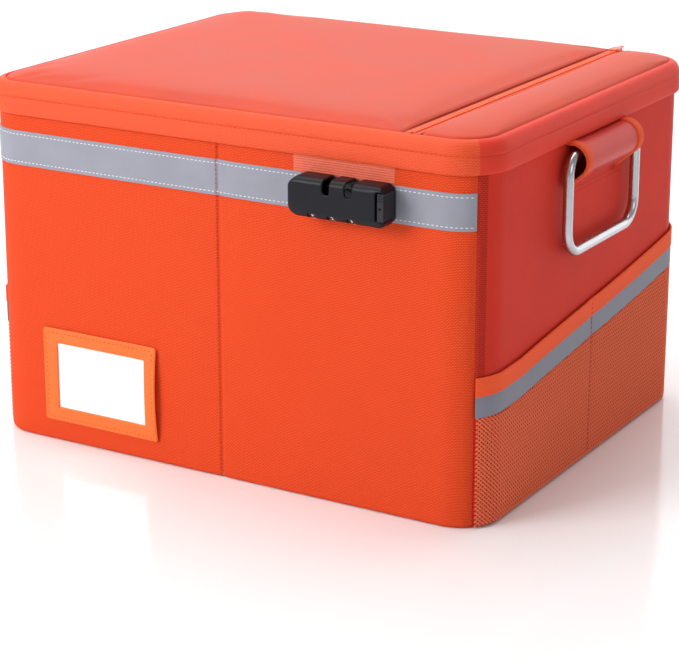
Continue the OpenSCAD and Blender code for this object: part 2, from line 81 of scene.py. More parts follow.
SIDE_A = HALF_W - CORNER_R
SIDE_B = 2 * (HALF_D - CORNER_R)
ARC = math.pi * CORNER_R / 2
RIM = 2 * (2 * SIDE_A + SIDE_B) + 4 * ARC
FRONT_SEAM = SIDE_A + ARC / 2
BACK_SEAM = FRONT_SEAM + ARC + SIDE_B
CORNER_STRIP = 7 * MM
SIDE_MIDDLE = SIDE_A + ARC + SIDE_B / 2
SIDES = (("right", 1), ("left", -1))
SEAM_OF = {1: FRONT_SEAM, -1: FRONT_SEAM + 10 * MM}
FRONT_ENDS = (-SEAM_OF[-1], SEAM_OF[1])


# ---- sizes chosen here, for soft shapes that the CAD leaves plain ----

WALL_EDGE_R = 3 * MM
LID_ROLL = 2.4 * MM
HALF_CHANNEL = 7.0 * MM
SLEEVE_R = 12 * MM
# where each half of the rim zip ends, from the middle of the back
RIM_ZIP_END = {"lower": 100 * MM, "upper": 112 * MM}
# soft upright folds to the right of the front's middle: distance from it and depth
FRONT_FOLDS = ((17 * MM, 0.5 * MM), (29 * MM, 0.35 * MM), (44 * MM, 0.25 * MM))


# ---- the walls' outline ----

def rim(s):
    """Points and outward normals on the walls' outline, at distances s right of the front's middle."""
    s = np.mod(np.atleast_1d(np.asarray(s, float)), RIM)
    a, b, r = SIDE_A, SIDE_B / 2, CORNER_R
    runs = [
        (a, (0, -HALF_D), -90, False), (ARC, (a, -b), -90, True),
        (2 * b, (HALF_W, -b), 0, False), (ARC, (a, b), 0, True),
        (2 * a, (a, HALF_D), 90, False), (ARC, (-a, b), 90, True),
        (2 * b, (-HALF_W, b), 180, False), (ARC, (-a, -b), 180, True),
        (a, (-a, -HALF_D), 270, False),
    ]
    point, normal = np.zeros((len(s), 2)), np.zeros((len(s), 2))
    begin = 0.0
    for length, origin, degrees, is_arc in runs:
        here = (s >= begin - 1e-9) & (s <= begin + length + 1e-9)
        t = s[here] - begin
        angle = math.radians(degrees) + (t / r if is_arc else 0 * t)
        out = np.stack([np.cos(angle), np.sin(angle)], -1)
        along = np.stack([-np.sin(angle), np.cos(angle)], -1)
        normal[here] = out
        point[here] = np.array(origin) + (r * out if is_arc else t[:, None] * along)
        begin += length
    return point, normal


def on_rim(s, out, z):
    """Points at distance s round the rim, out from the walls' outline, at height z. The three broadcast."""
    s, out, z = np.broadcast_arrays(np.asarray(s, float), out, z)
    point, normal = rim(s.ravel())
    flat = point + normal * out.reshape(-1, 1)
    return np.concatenate([flat, z.reshape(-1, 1)], 1).reshape(s.shape + (3,))


def ripple(points, size, seed):
    """Smooth low waves from -1 to 1, about size long."""
    rng = np.random.default_rng(seed)
    total = 0.0
    for _ in range(6):
        direction = rng.normal(size=3)
        wave = direction / np.linalg.norm(direction) * math.tau / (size * rng.uniform(0.7, 1.6))
        total = total + np.sin(points @ wave + rng.uniform(0, math.tau))
    return total / 6


def dip(x, width):
    """A smooth bump, 1 at 0 and fading over width to both sides."""
    return np.exp(-((x / width) ** 2))


def round_over(gap, r):
    """From 0 at an edge to 1 at distance r inside it, along a quarter circle."""
    return np.sqrt(1 - np.clip(1 - gap / r, 0, 1) ** 2)


def wall_out(s, z):
    """How far the outer fabric stands out from the outline: bellies over boards, creases at seams."""
    s, z = np.broadcast_arrays(np.asarray(s, float), z)
    centred = np.mod(s + RIM / 2, RIM) - RIM / 2
    side = np.abs(centred)
    rise = np.sin(math.pi * np.clip(z / WALL_TOP, 0, 1))
    board = np.where(side < SIDE_A, side / SIDE_A, 0)
    past = side - SIDE_A - ARC
    board = np.where((past > 0) & (past < SIDE_B), past / SIDE_B, board)
    back = side - SIDE_A - 2 * ARC - SIDE_B
    board = np.where(back > 0, 0.5 * back / SIDE_A, board)
    belly = 0.35 * MM * rise * np.sin(math.pi * np.clip(board, 0, 1))
    out = belly - WALL_EDGE_R * (1 - round_over(z, WALL_EDGE_R))
    out = out - 1.1 * MM * dip(centred, 1.6 * MM) - 0.5 * MM * dip(centred, 9 * MM)
    for seam in (*FRONT_ENDS, BACK_SEAM, -BACK_SEAM):
        out = out - 0.7 * MM * dip(centred - seam, 1.1 * MM)
    lean = 4 * MM * np.sin(z / (60 * MM))
    for place, depth in FRONT_FOLDS:
        fold = depth * dip(centred - place - lean, 5 * MM)
        out = out + fold * np.clip((z - 60 * MM) / (120 * MM), 0, 1)
    return out + 0.15 * MM * ripple(on_rim(s, 0.0, z), 70 * MM, 3)


def spaced(low, high, step, fine_at=(), fine=0.5 * MM, reach=5 * MM):
    """Even values from low to high, with closer ones near each place in fine_at."""
    values = list(np.linspace(low, high, max(2, round((high - low) / step) + 1)))
    for place in fine_at:
        near = place + np.arange(-reach, reach + fine / 2, fine)
        values = [v for v in values if abs(v - place) > reach] + list(near[(near > low) & (near < high)])
        values += [low, high]
    return np.array(sorted(set(np.round(values, 7))))


def span(sign, near, far):
    """Two distances round the right end, or the left end for sign -1, in rising order."""
    return sorted([sign * near, sign * far])


def run_length(points):
    """Distance along a path at each of its points."""
    return np.concatenate([[0], np.cumsum(np.linalg.norm(np.diff(points, axis=0), axis=1))])


def grid_uv(a, b):
    return np.stack(np.meshgrid(a, b, indexing="ij"), -1)


# ---- mesh building ----

def finish_piece(obj, body, replaces=(), sharp=40):
    obj.data.polygons.foreach_set("use_smooth", [True] * len(obj.data.polygons))
    obj.data.set_sharp_from_angle(angle=math.radians(sharp))
    obj.data.update()
    if body:
        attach(obj, body)
    if replaces:
        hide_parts(*replaces)
    return obj


def new_object(name, verts, faces, material, corner_uv=None):
    mesh = bpy.data.meshes.new(name)
    mesh.from_pydata(np.asarray(verts, float).tolist(), [], faces)
    if corner_uv is not None:
        layer = mesh.uv_layers.new(name="weave")
        layer.data.foreach_set("uv", np.asarray(corner_uv, np.float32).ravel())
    work = bmesh.new()
    work.from_mesh(mesh)
    bmesh.ops.recalc_face_normals(work, faces=work.faces)
    work.to_mesh(mesh)
    work.free()
    mesh.materials.append(material)
    obj = bpy.data.objects.new(name, mesh)
    bpy.context.scene.collection.objects.link(obj)
    return obj


def tubes(runs, closed=False):
    """Vertices and faces of tubes, each given as rings of points joined one to the next. A closed tube also
    joins its last ring to its first, and the others are capped."""
    verts, faces, start = [], [], 0
    for rings in runs:
        rings = np.asarray(rings)
        n, m = rings.shape[:2]
        for i in range(n if closed else n - 1):
            here, after = start + i * m, start + (i + 1) % n * m
            for j in range(m):
                q = (j + 1) % m
                faces.append([here + j, after + j, after + q, here + q])
        if not closed:
            faces.append([start + j for j in range(m)])
            faces.append([start + (n - 1) * m + j for j in range(m)])
        verts.append(rings.reshape(-1, 3))
        start += n * m
    return np.concatenate(verts), faces


def tooth(sections, half_size):
    """Rings of one zip tooth round 0. half_size holds its half sizes along, across and up, and sections each
    ring's place and thickness as parts of those."""
    turn = math.tau * np.arange(6) / 6
    rings = [np.stack([np.full(6, t), k * np.cos(turn), k * np.sin(turn)], -1) for t, k in sections]
    return np.array(rings) * half_size


def slab(name, outer, inner, uv, material, closed=False, keep=None):
    """A closed sheet between two grids of points. uv holds (length, height) in metres for each of them, and has
    one more row where the sheet runs all the way round. Cells where keep is False are left out."""
    ni, nj = outer.shape[:2]
    verts = np.concatenate([outer.reshape(-1, 3), inner.reshape(-1, 3)])
    skip = ni * nj
    faces, corner_uv, border = [], [], {}

    def put(corners, layers):
        faces.append([layer + (i % ni) * nj + j for (i, j), layer in zip(corners, layers)])
        corner_uv.extend(uv[i, j] for i, j in corners)

    for i in range(ni if closed else ni - 1):
        for j in range(nj - 1):
            if keep is not None and not keep[i, j]:
                continue
            ring = [(i, j), (i + 1, j), (i + 1, j + 1), (i, j + 1)]
            put(ring, [0] * 4)
            put(ring[::-1], [skip] * 4)
            for a, b in zip(ring, ring[1:] + ring[:1]):
                edge = frozenset(((a[0] % ni, a[1]), (b[0] % ni, b[1])))
                if edge in border:
                    del border[edge]
                else:
                    border[edge] = (a, b)
    for a, b in border.values():
        put([a, b, b, a], [0, 0, skip, skip])
    used = sorted({v for f in faces for v in f})
    number = {v: k for k, v in enumerate(used)}
    return new_object(name, verts[used], [[number[v] for v in f] for f in faces], material, corner_uv)


def wall_piece(name, s_list, z_grid, thick, material, edge=0.0, sunk=0.0, base=wall_out, round_ends=False):
    """Fabric on the walls between distances s_list and heights z_grid[i, j]. With edge it's a strip on the
    wall, with edges rounded over that width, and without it's the wall itself."""
    s = s_list[:, None] + 0 * z_grid
    surface = base(s, z_grid)
    if edge:
        gap = np.minimum(z_grid - z_grid[:, :1], z_grid[:, -1:] - z_grid)
        if round_ends:
            gap = np.minimum(gap, np.minimum(s - s_list[0], s_list[-1] - s))
        outer = surface + thick * (0.25 + 0.75 * round_over(gap, edge))
        inner = surface - sunk
    else:
        outer, inner = surface, surface - thick
    uv = np.stack([s, z_grid], -1)
    return slab(name, on_rim(s, outer, z_grid), on_rim(s, inner, z_grid), uv, material)


def level(s_list, z_list):
    return np.zeros((len(s_list), 1)) + np.asarray(z_list)[None, :]


def edged(low, high, step, edge):
    """Heights from low to high with extra ones inside each rounded edge."""
    inside = [edge * k for k in (0.12, 0.35, 0.7, 1.0)]
    return np.array(sorted(set(
        [low, high] + [low + k for k in inside] + [high - k for k in inside]
        + list(np.linspace(low + edge, high - edge, max(2, round((high - low) / step))))
    )))


def stitch_row(points, normals, length, gap, width, height):
    """Small rounded bars along a path, each dipping into the fabric at its ends, as rings for tubes."""
    run = run_length(points)
    pitch = length + gap
    count = int((run[-1] + gap) // pitch)
    lead = (run[-1] + gap - count * pitch) / 2
    along = np.array([-0.5, -0.38, 0.0, 0.38, 0.5])
    lift = np.array([-0.25, 0.55, 1.0, 0.55, -0.25])
    slim = np.array([0.45, 0.9, 1.0, 0.9, 0.45])
    across = np.array([-1, -0.55, 0.55, 1, 0])
    up = np.array([0.0, 0.75, 0.75, 0.0, -0.5])
    bars = []
    for k in range(count):
        middle = lead + k * pitch + length / 2
        centre = np.stack([np.interp(middle + length * along, run, points[:, c]) for c in range(3)], -1)
        face_up = np.array([np.interp(middle, run, normals[:, c]) for c in range(3)])
        face_up = face_up / np.linalg.norm(face_up)
        forward = centre[-1] - centre[0]
        sideways = np.cross(face_up, forward / np.linalg.norm(forward))
        rings = []
        for place, rise, thin in zip(centre, lift, slim):
            tall = height * (rise * np.maximum(up, 0) + np.minimum(up, 0) + (rise - 1) * 0.5)
            rings.append(place + np.outer(across * thin * width / 2, sideways) + np.outer(tall, face_up))
        bars.append(rings)
    return bars


def stitches(name, rows, material, body, size):
    """One object with the stitches of several rows, each given as (points, normals). size is a stitch's
    length, the gap to the next, its width and its height, in mm."""
    sizes = [part * MM for part in size]
    verts, faces = tubes([bar for points, normals in rows for bar in stitch_row(points, normals, *sizes)])
    return finish_piece(new_object(name, verts, faces, material), body, sharp=80)


def wall_row(s, z, lift, base=wall_out):
    """A path on the walls for stitches: points and normals."""
    s, z = np.broadcast_arrays(np.asarray(s, float), z)
    points = on_rim(s, base(s, z) + lift, z)
    normal = rim(s)[1]
    return points, np.concatenate([normal, 0 * normal[:, :1]], 1)


# ---- materials ----

class Shader:
    """A Principled material and short calls for its texture nodes."""

    def __init__(self, name, **sockets):
        self.material = bpy.data.materials.new(name)
        self.material.use_nodes = True
        self.tree = self.material.node_tree
        self.surface = self.tree.nodes["Principled BSDF"]
        for key, value in sockets.items():
            self.surface.inputs[key.replace("_", " ")].default_value = value

    def node(self, kind, inputs=(), **settings):
        made = self.tree.nodes.new(kind)
        for key, value in settings.items():
            setattr(made, key, value)
        for key, value in dict(inputs).items():
            if isinstance(value, bpy.types.NodeSocket):
                self.tree.links.new(value, made.inputs[key])
            else:
                made.inputs[key].default_value = value
        return made

    def math(self, operation, a, b=0.0):
        return self.node("ShaderNodeMath", {0: a, 1: b}, operation=operation).outputs[0]

    def sewn(self):
        """Cloth coordinates in metres from the piece's own weave map."""
        return self.node("ShaderNodeUVMap", uv_map="weave").outputs[0]

    def solid(self, scale=(1, 1, 1)):
        """Coordinates in metres in the row frame."""
        at = self.node("ShaderNodeTexCoord").outputs["Object"]
        return self.node("ShaderNodeMapping", {"Vector": at, "Scale": scale}).outputs[0]

    def wobble(self, vector, amount, scale):
        """The same coordinates pushed about a little, so that threads aren't perfectly straight."""
        kind = "ShaderNodeVectorMath"
        drift = self.node("ShaderNodeTexNoise", {"Vector": vector, "Scale": scale, "Detail": 2.0}).outputs[1]
        push = self.node(kind, {0: drift, 1: (0.5, 0.5, 0.5)}, operation="SUBTRACT").outputs[0]
        push = self.node(kind, {0: push, "Scale": amount * 2}, operation="SCALE").outputs[0]
        return self.node(kind, {0: vector, 1: push}, operation="ADD").outputs[0]

    def noise(self, vector, scale, detail=3.0, rough=0.55):
        return self.node(
            "ShaderNodeTexNoise", {"Vector": vector, "Scale": scale, "Detail": detail, "Roughness": rough}
        ).outputs[0]

    def cells(self, vector, scale, feature="F1"):
        made = self.node("ShaderNodeTexVoronoi", {"Vector": vector, "Scale": scale}, feature=feature)
        return made.outputs[0]

    def ramp(self, value, low, high, to_low=0.0, to_high=1.0):
        made = self.node("ShaderNodeMapRange", {0: value, 1: low, 2: high, 3: to_low, 4: to_high})
        return made.outputs[0]

    def blend(self, factor, a, b):
        made = self.node("ShaderNodeMix", data_type="RGBA")
        for slot, value in ((0, factor), (6, a), (7, b)):
            if isinstance(value, bpy.types.NodeSocket):
                self.tree.links.new(value, made.inputs[slot])
            else:
                made.inputs[slot].default_value = value if slot == 0 else (*value, 1)
        return made.outputs[2]

    def weave(self, vector, pitch):
        """Height of a plain weave, 0 in the gaps and 1 on the threads: staggered floats two pitches long."""
        parts = self.node("ShaderNodeSeparateXYZ", {0: vector}).outputs
        row = self.math("DIVIDE", parts[1], pitch)
        step = self.math("MULTIPLY", self.math("FLOOR", row), 0.5)
        along = self.math("ADD", self.math("DIVIDE", parts[0], 2 * pitch), step)
        float_h = self.math("ABSOLUTE", self.math("SINE", self.math("MULTIPLY", along, math.pi)))
        row_h = self.math("ABSOLUTE", self.math("SINE", self.math("MULTIPLY", row, math.pi)))
        return self.math("MULTIPLY", self.math("SQRT", float_h), row_h)

    def bump(self, height, depth):
        made = self.node("ShaderNodeBump", {"Height": height, "Distance": depth, "Strength": 1.0})
        self.tree.links.new(made.outputs[0], self.surface.inputs["Normal"])

    def colour(self, socket):
        self.tree.links.new(socket, self.surface.inputs["Base Color"])

    def roughness(self, value, low, high):
        self.tree.links.new(self.ramp(value, 0.3, 0.7, low, high), self.surface.inputs["Roughness"])


def shade(colour, factor):
    return tuple(min(1.0, c * factor) for c in colour)


def woven_material(name, colour, pitch=1.1 * MM, gap=0.5, bump=0.14 * MM, rough=(0.6, 0.75), specular=0.1):
    m = Shader(name, Specular_IOR_Level=specular)
    at = m.wobble(m.sewn(), 0.5 * MM, 160.0)
    height = m.weave(at, pitch)
    worn = m.noise(at, 900.0, 2.0, 0.6)
    soft = m.noise(at, 22.0, 2.0)
    thread = m.blend(m.ramp(worn, 0.3, 0.7), shade(colour, 0.88), shade(colour, 1.12))
    thread = m.blend(m.ramp(soft, 0.35, 0.65, 0.0, 0.35), thread, shade(colour, 0.93))
    m.colour(m.blend(m.ramp(height, 0.1, 0.7), shade(colour, gap), thread))
    m.roughness(worn, *rough)
    m.bump(m.math("ADD", height, m.math("MULTIPLY", worn, 0.8)), bump)
    return m.material


def coated_material(name, colour, rough=(0.42, 0.5), specular=0.06):
    m = Shader(name, Specular_IOR_Level=specular)
    at = m.sewn()
    fine, soft = m.noise(at, 700.0), m.noise(at, 14.0)
    m.colour(m.blend(m.ramp(soft, 0.3, 0.7), shade(colour, 0.94), shade(colour, 1.06)))
    m.roughness(m.math("ADD", m.math("MULTIPLY", soft, 0.6), m.math("MULTIPLY", fine, 0.4)), *rough)
    m.bump(m.math("ADD", fine, m.math("MULTIPLY", m.noise(at, 60.0), 2.0)), 0.03 * MM)
    return m.material


def ribbed_material(name, colour, pitch, across=False, depth=0.15 * MM, gap=0.8, rough=(0.6, 0.75), lit=None):
    """Webbing or elastic: ribs with a fine twist in them. lit gives the nearest and furthest distances from
    its middle line between which the colour is left as it is; nearer and further out it is painted deep shade."""
    m = Shader(name, Specular_IOR_Level=0.2)
    at = m.sewn()
    parts = m.node("ShaderNodeSeparateXYZ", {0: at}).outputs
    u = parts[0] if across else parts[1]
    v = parts[1] if across else parts[0]
    rib = m.math("ABSOLUTE", m.math("SINE", m.math("MULTIPLY", u, math.pi / pitch)))
    slope = m.math("MULTIPLY", m.math("ADD", v, u), math.pi / (pitch * 0.7))
    twist = m.math("ABSOLUTE", m.math("SINE", slope))
    height = m.math("ADD", rib, m.math("MULTIPLY", twist, 0.5))
    fuzz = m.noise(at, 500.0)
    tone = m.blend(m.ramp(fuzz, 0.3, 0.7), shade(colour, 0.92), shade(colour, 1.1))
    tone = m.blend(m.ramp(height, 0.2, 1.2), shade(colour, gap), tone)
    # painted shade: outside the lit band the colour is near-black, standing in for the shade in the gaps beside
    # the zip
    if lit:
        away = m.math("ABSOLUTE", parts[0])
        beyond = m.ramp(away, lit[1], lit[1] + 0.3 * MM)
        within = m.ramp(away, lit[0] + 0.2 * MM, lit[0])
        tone = m.blend(m.math("MAXIMUM", beyond, within), tone, shade(colour, 0.12))
    m.colour(tone)
    m.roughness(fuzz, *rough)
    m.bump(height, depth)
    return m.material


def thread_material(name, colour):
    m = Shader(name, Specular_IOR_Level=0.2)
    at = m.solid()
    twist = m.noise(at, 1500.0, 2.0)
    m.colour(m.blend(twist, shade(colour, 0.8), shade(colour, 1.12)))
    m.roughness(twist, 0.5, 0.7)
    m.bump(twist, 0.05 * MM)
    return m.material


def plastic_material(name, colour, rough, coat=0.0, specular=0.5):
    m = Shader(name, Coat_Weight=coat, Coat_Roughness=0.2, Specular_IOR_Level=specular)
    at = m.solid()
    fine, smear = m.noise(at, 1800.0, 2.0), m.noise(at, 45.0, 4.0)
    m.colour(m.blend(smear, shade(colour, 0.85), shade(colour, 1.15)))
    m.roughness(smear, *rough)
    m.bump(fine, 0.02 * MM)
    return m.material


def metal_material(name, colour, rough=(0.22, 0.36), streak=(60, 900, 900), bump=0.01 * MM):
    m = Shader(name, Metallic=1.0)
    at = m.solid(streak)
    brushed, smear = m.noise(at, 1.0, 3.0), m.noise(m.solid(), 70.0, 3.0)
    m.colour(m.blend(smear, shade(colour, 0.9), shade(colour, 1.05)))
    m.roughness(brushed, *rough)
    if bump:
        m.bump(brushed, bump)
    return m.material


def reflective_material(name, grey):
    m = Shader(name, Specular_IOR_Level=0.3)
    at = m.sewn()
    beads, soft = m.cells(at, 2600.0), m.noise(at, 30.0, 3.0)
    m.colour(m.blend(m.ramp(soft, 0.3, 0.7), shade(grey, 0.94), shade(grey, 1.07)))
    m.roughness(soft, 0.42, 0.52)
    m.bump(beads, 0.03 * MM)
    return m.material


def leather_material(name, colour):
    m = Shader(name, Specular_IOR_Level=0.25)
    at = m.sewn()
    pebble, soft = m.cells(at, 900.0), m.noise(at, 60.0, 4.0)
    m.colour(m.blend(m.ramp(pebble, 0.0, 0.7), shade(colour, 0.86), shade(colour, 1.05)))
    m.roughness(soft, 0.45, 0.6)
    m.bump(m.math("ADD", pebble, m.math("MULTIPLY", soft, 0.7)), 0.08 * MM)
    return m.material


def film_material():
    m = Shader("clear_film", Alpha=0.14, Coat_Weight=0.4)
    wave = m.noise(m.solid(), 40.0, 2.0)
    m.colour(m.blend(wave, (0.9, 0.92, 0.95), (1, 1, 1)))
    m.roughness(wave, 0.05, 0.12)
    m.bump(wave, 0.1 * MM)
    return m.material


def paper_material():
    m = Shader("card_paper")
    fibre = m.noise(m.solid((1, 1, 2)), 900.0, 4.0)
    m.colour(m.blend(fibre, (0.93, 0.93, 0.93), (1.0, 1.0, 1.0)))
    m.roughness(fibre, 0.6, 0.75)
    m.bump(fibre, 0.02 * MM)
    return m.material


def board_material():
    m = Shader("grey_board")
    fibre, blotch = m.noise(m.solid(), 500.0, 5.0, 0.7), m.noise(m.solid(), 40.0, 3.0)
    m.colour(m.blend(m.math("MULTIPLY", fibre, blotch), (0.28, 0.25, 0.21), (0.5, 0.46, 0.4)))
    m.roughness(fibre, 0.75, 0.9)
    m.bump(fibre, 0.08 * MM)
    return m.material


def liner_material(name):
    """Aluminium-faced glass cloth: a coarse weave under foil, with small crumples."""
    m = Shader(name, Metallic=0.7)
    at = m.wobble(m.sewn(), 5 * MM, 40.0)
    facets, soft = m.cells(at, 85.0, "DISTANCE_TO_EDGE"), m.noise(at, 30.0, 4.0)
    crumple = m.math("ADD", m.ramp(facets, 0.0, 0.22), m.math("MULTIPLY", soft, 0.8))
    m.colour(m.blend(m.ramp(crumple, 0.3, 1.3), (0.62, 0.62, 0.64), (0.74, 0.74, 0.76)))
    m.roughness(soft, 0.34, 0.46)
    m.bump(m.math("ADD", m.math("MULTIPLY", m.weave(m.sewn(), 1.4 * MM), 0.15), crumple), 0.5 * MM)
    return m.material


ORANGE = (0.90, 0.082, 0.020)
RED = (0.64, 0.038, 0.022)
CORAL = (0.60, 0.068, 0.032)

woven = woven_material("woven_orange", ORANGE)
corner_weave = woven_material("corner_weave", (0.62, 0.035, 0.018), pitch=1.3 * MM, bump=0.25 * MM)
skirt_weave = woven_material("skirt_weave", (0.92, 0.10, 0.03), pitch=1.0 * MM, gap=0.62, rough=(0.45, 0.6),
                             specular=0.2)
skirt_coated = coated_material("skirt_coated", (0.76, 0.052, 0.030), rough=(0.42, 0.5), specular=0.09)
lid_cloth = coated_material("lid_cloth", CORAL, rough=(0.42, 0.52), specular=0.11)
coated = coated_material("coated_red", RED)
sleeve_cloth = coated_material("sleeve_cloth", (0.62, 0.045, 0.035), rough=(0.36, 0.44), specular=0.22)
tape = reflective_material("reflective_tape", (0.275, 0.28, 0.33))
# painted shade: the same reflective tape as on the front, painted about a fifth darker for the shaded side
shaded_side_tape = reflective_material("reflective_tape_side_painted_shade", (0.21, 0.22, 0.27))
webbing = ribbed_material("webbing_pink", (0.86, 0.17, 0.10), 1.6 * MM, gap=0.6)
binding_web = ribbed_material("binding_webbing", (0.86, 0.10, 0.03), 1.4 * MM, across=True)
elastic = ribbed_material("elastic_orange", (1.0, 0.11, 0.03), 1.1 * MM, depth=0.1 * MM)
net_thread = thread_material("net_thread", (1.0, 0.19, 0.085))
net_backing = coated_material("net_backing", (0.62, 0.030, 0.015), rough=(0.5, 0.6))
zip_cloth = ribbed_material("zip_tape_orange", (0.86, 0.09, 0.025), 1.0 * MM, across=True, depth=0.1 * MM)
# the lid zip's tape has its edges painted in deep shade, for the dark gaps at the sides of the channel
lid_zip_cloth = ribbed_material("lid_zip_tape_orange_painted_shade", (0.90, 0.10, 0.03), 1.0 * MM, across=True,
                                depth=0.1 * MM, lit=(0.3 * MM, 5.4 * MM))
zip_nylon = plastic_material("zip_nylon_orange", (0.85, 0.13, 0.04), rough=(0.4, 0.5))
label_skin = leather_material("label_leather", (1.0, 0.16, 0.03))
thread_pale = thread_material("thread_pale", (0.75, 0.78, 0.84))
thread_orange = thread_material("thread_orange", (0.55, 0.05, 0.012))
thread_red = thread_material("thread_red", (0.45, 0.028, 0.016))
foil = liner_material("aluminium_liner")
board = board_material()
black_plastic = plastic_material("lock_black", (0.006, 0.006, 0.010), rough=(0.36, 0.44), specular=0.2)
dial_black = plastic_material("dial_black", (0.006, 0.006, 0.008), rough=(0.3, 0.4), specular=0.3)
button_grey = plastic_material("button_grey", (0.016, 0.016, 0.02), rough=(0.35, 0.5), specular=0.3)
white_paint = plastic_material("digit_white", (0.95, 0.95, 0.95), rough=(0.45, 0.6))
rail_white = plastic_material("rail_white", (0.72, 0.72, 0.70), rough=(0.4, 0.5))
steel = metal_material("plain_steel", (0.62, 0.62, 0.64))
satin_steel = metal_material("satin_steel", (0.56, 0.56, 0.59), rough=(0.2, 0.3), streak=(300, 300, 40),
                             bump=0.0)
dark_metal = metal_material("dark_metal", (0.22, 0.22, 0.24), rough=(0.35, 0.5))
painted = plastic_material("zip_painted_orange", (0.78, 0.08, 0.02), rough=(0.3, 0.4), coat=0.4)

CAD_FINISH = {
    board: ["front_board_right", "front_board_left", "back_board", "side_board_right", "side_board_left",
            "base_board", "lid_board"],
    rail_white: ["front_rail", "back_rail"],
    steel: ["rail_rivets", "lock_inner_plate", "lock_screws", "dial_shaft", "lock_bolt"],
    dark_metal: ["lock_mount_plate", "lock_chassis", "rim_slider_right", "rim_slider_left"],
    dial_black: ["dial_1", "dial_2", "dial_3"],
    button_grey: ["release_button"],
    film_material(): ["label_window"],
    paper_material(): ["label_card"],
}
for finish, names in CAD_FINISH.items():
    for node_name in names:
        data = NODES[node_name].data
        data.materials.clear()
        data.materials.append(finish)
        data.polygons.foreach_set("use_smooth", [True] * len(data.polygons))
        data.set_sharp_from_angle(angle=math.radians(32))


# ---- walls ----

def front_and_back():
    edge_rows, rows = np.linspace(0, WALL_EDGE_R, 7), np.linspace(WALL_EDGE_R, WALL_TOP, 49)
    heights = np.unique(np.concatenate([edge_rows, rows]))
    s = spaced(*FRONT_ENDS, 3.5 * MM, [0.0], 0.5 * MM, 6 * MM)
    front = wall_piece("front_fabric", s, level(s, heights), SKIN_T, woven)
    finish_piece(front, "box", ["front_panel"])
    s = spaced(BACK_SEAM, RIM - BACK_SEAM, 5 * MM)
    back = wall_piece("back_fabric", s, level(s, heights), SKIN_T, woven)
    finish_piece(back, "box", ["back_panel"])
    for side, sign in SIDES:
        strip_end = SEAM_OF[sign] + CORNER_STRIP
        s = spaced(*span(sign, strip_end, BACK_SEAM), 4 * MM)
        panel = wall_piece(f"side_fabric_{side}", s, level(s, heights), SKIN_T, coated)
        finish_piece(panel, "box", [f"side_panel_{side}"])
        s = spaced(*span(sign, SEAM_OF[sign], strip_end), 0.6 * MM)
        strip = wall_piece(f"corner_strip_{side}", s, level(s, heights), SKIN_T, corner_weave)
        finish_piece(strip, "box")


def draw_in(x, y, half_x, half_y, r):
    """The same points with the corners of their rectangle drawn in to radius r."""
    u = np.clip(np.abs(x) - (half_x - r), 0, r) / r
    v = np.clip(np.abs(y) - (half_y - r), 0, r) / r
    new_x = np.sign(x) * (half_x - r + r * u * np.sqrt(1 - v * v / 2))
    new_y = np.sign(y) * (half_y - r + r * v * np.sqrt(1 - u * u / 2))
    return np.where(u > 0, new_x, x), np.where(v > 0, new_y, y)


def rounded_grid(xs, ys, half_x, half_y, r):
    """Points (x, y) on a grid whose outer corners are drawn in to radius r."""
    x, y = np.meshgrid(xs, ys, indexing="ij")
    return draw_in(x, y, half_x, half_y, r)


def edge_gap(x, y, half_x, half_y, r):
    """Distance inwards from a rounded rectangle's edge."""
    qx, qy = np.abs(x) - (half_x - r), np.abs(y) - (half_y - r)
    outside = np.hypot(np.maximum(qx, 0), np.maximum(qy, 0))
    return r - outside - np.minimum(np.maximum(qx, qy), 0)


def flat_sheet(name, x, y, z_top, z_low, material):
    top, low = np.stack([x, y, z_top], -1), np.stack([x, y, z_low], -1)
    return slab(name, top, low, np.stack([x, y], -1), material)


def grid_lines(half, r, step):
    """Lines across a rounded rectangle, closer in the corners."""
    middle = list(np.linspace(-(half - r), half - r, round(2 * (half - r) / step) + 1))
    corner = [half - r * (1 - math.sin(math.pi / 2 * k / 8)) for k in range(1, 9)]
    corner += [half - 0.008 * r, half - 0.045 * r]
    return np.array(sorted([-c for c in corner] + middle + corner))


def plate(out, step):
    """A plate that stands out from the walls' outline by out: its half sizes, its grid and the distance
    inwards from its edge."""
    hx, hy, r = HALF_W + out, HALF_D + out, CORNER_R + out
    x, y = rounded_grid(grid_lines(hx, r, step), grid_lines(hy, r, step), hx, hy, r)
    return hx, hy, x, y, edge_gap(x, y, hx, hy, r)


def base():
    hx, hy, x, y, gap = plate(-3 * MM, 9 * MM)
    points = np.stack([x, y, 0 * x], -1)
    low = 0.25 * MM * (1 - np.clip(gap / (8 * MM), 0, 1)) + 0.05 * MM * (1 + ripple(points, 60 * MM, 8))
    made = flat_sheet("base_fabric", x, y, low + SKIN_T, low, coated)
    finish_piece(made, "box", ["base_panel"])


def liner():
    """The fireproof tray inside, sagging a little between its folded edges."""
    in_face, out_face, fold = -4.9 * MM, -4.1 * MM, 4 * MM
    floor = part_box("inner_liner")[0].z + 1.0 * MM
    heights = np.linspace(floor, WALL_TOP - 0.2 * MM, 46)
    s = spaced(0, RIM, 6 * MM)[:-1]
    around, z = np.meshgrid(s, heights, indexing="ij")
    hang = np.sin(math.pi * (z - floor) / (WALL_TOP - floor))
    slack = 0.35 * MM * ripple(on_rim(around, 0.0, z), 45 * MM, 21) * hang
    turn = fold * (1 - round_over(z - floor, fold))
    walls = slab("liner_walls", on_rim(around, in_face - turn + slack * 0.5 - 0.2 * MM, z),
                 on_rim(around, out_face - turn, z), grid_uv(np.append(s, RIM), heights), foil, closed=True)
    finish_piece(walls, "box", ["inner_liner"])
    hx, hy, x, y, _ = plate(-(4.5 * MM + fold), 8 * MM)
    wave = 0.3 * MM * (1 + ripple(np.stack([x, y, 0 * x], -1), 50 * MM, 22))
    made = flat_sheet("liner_floor", x, y, floor + wave, floor - 0.8 * MM + 0 * x, foil)
    finish_piece(made, "box")


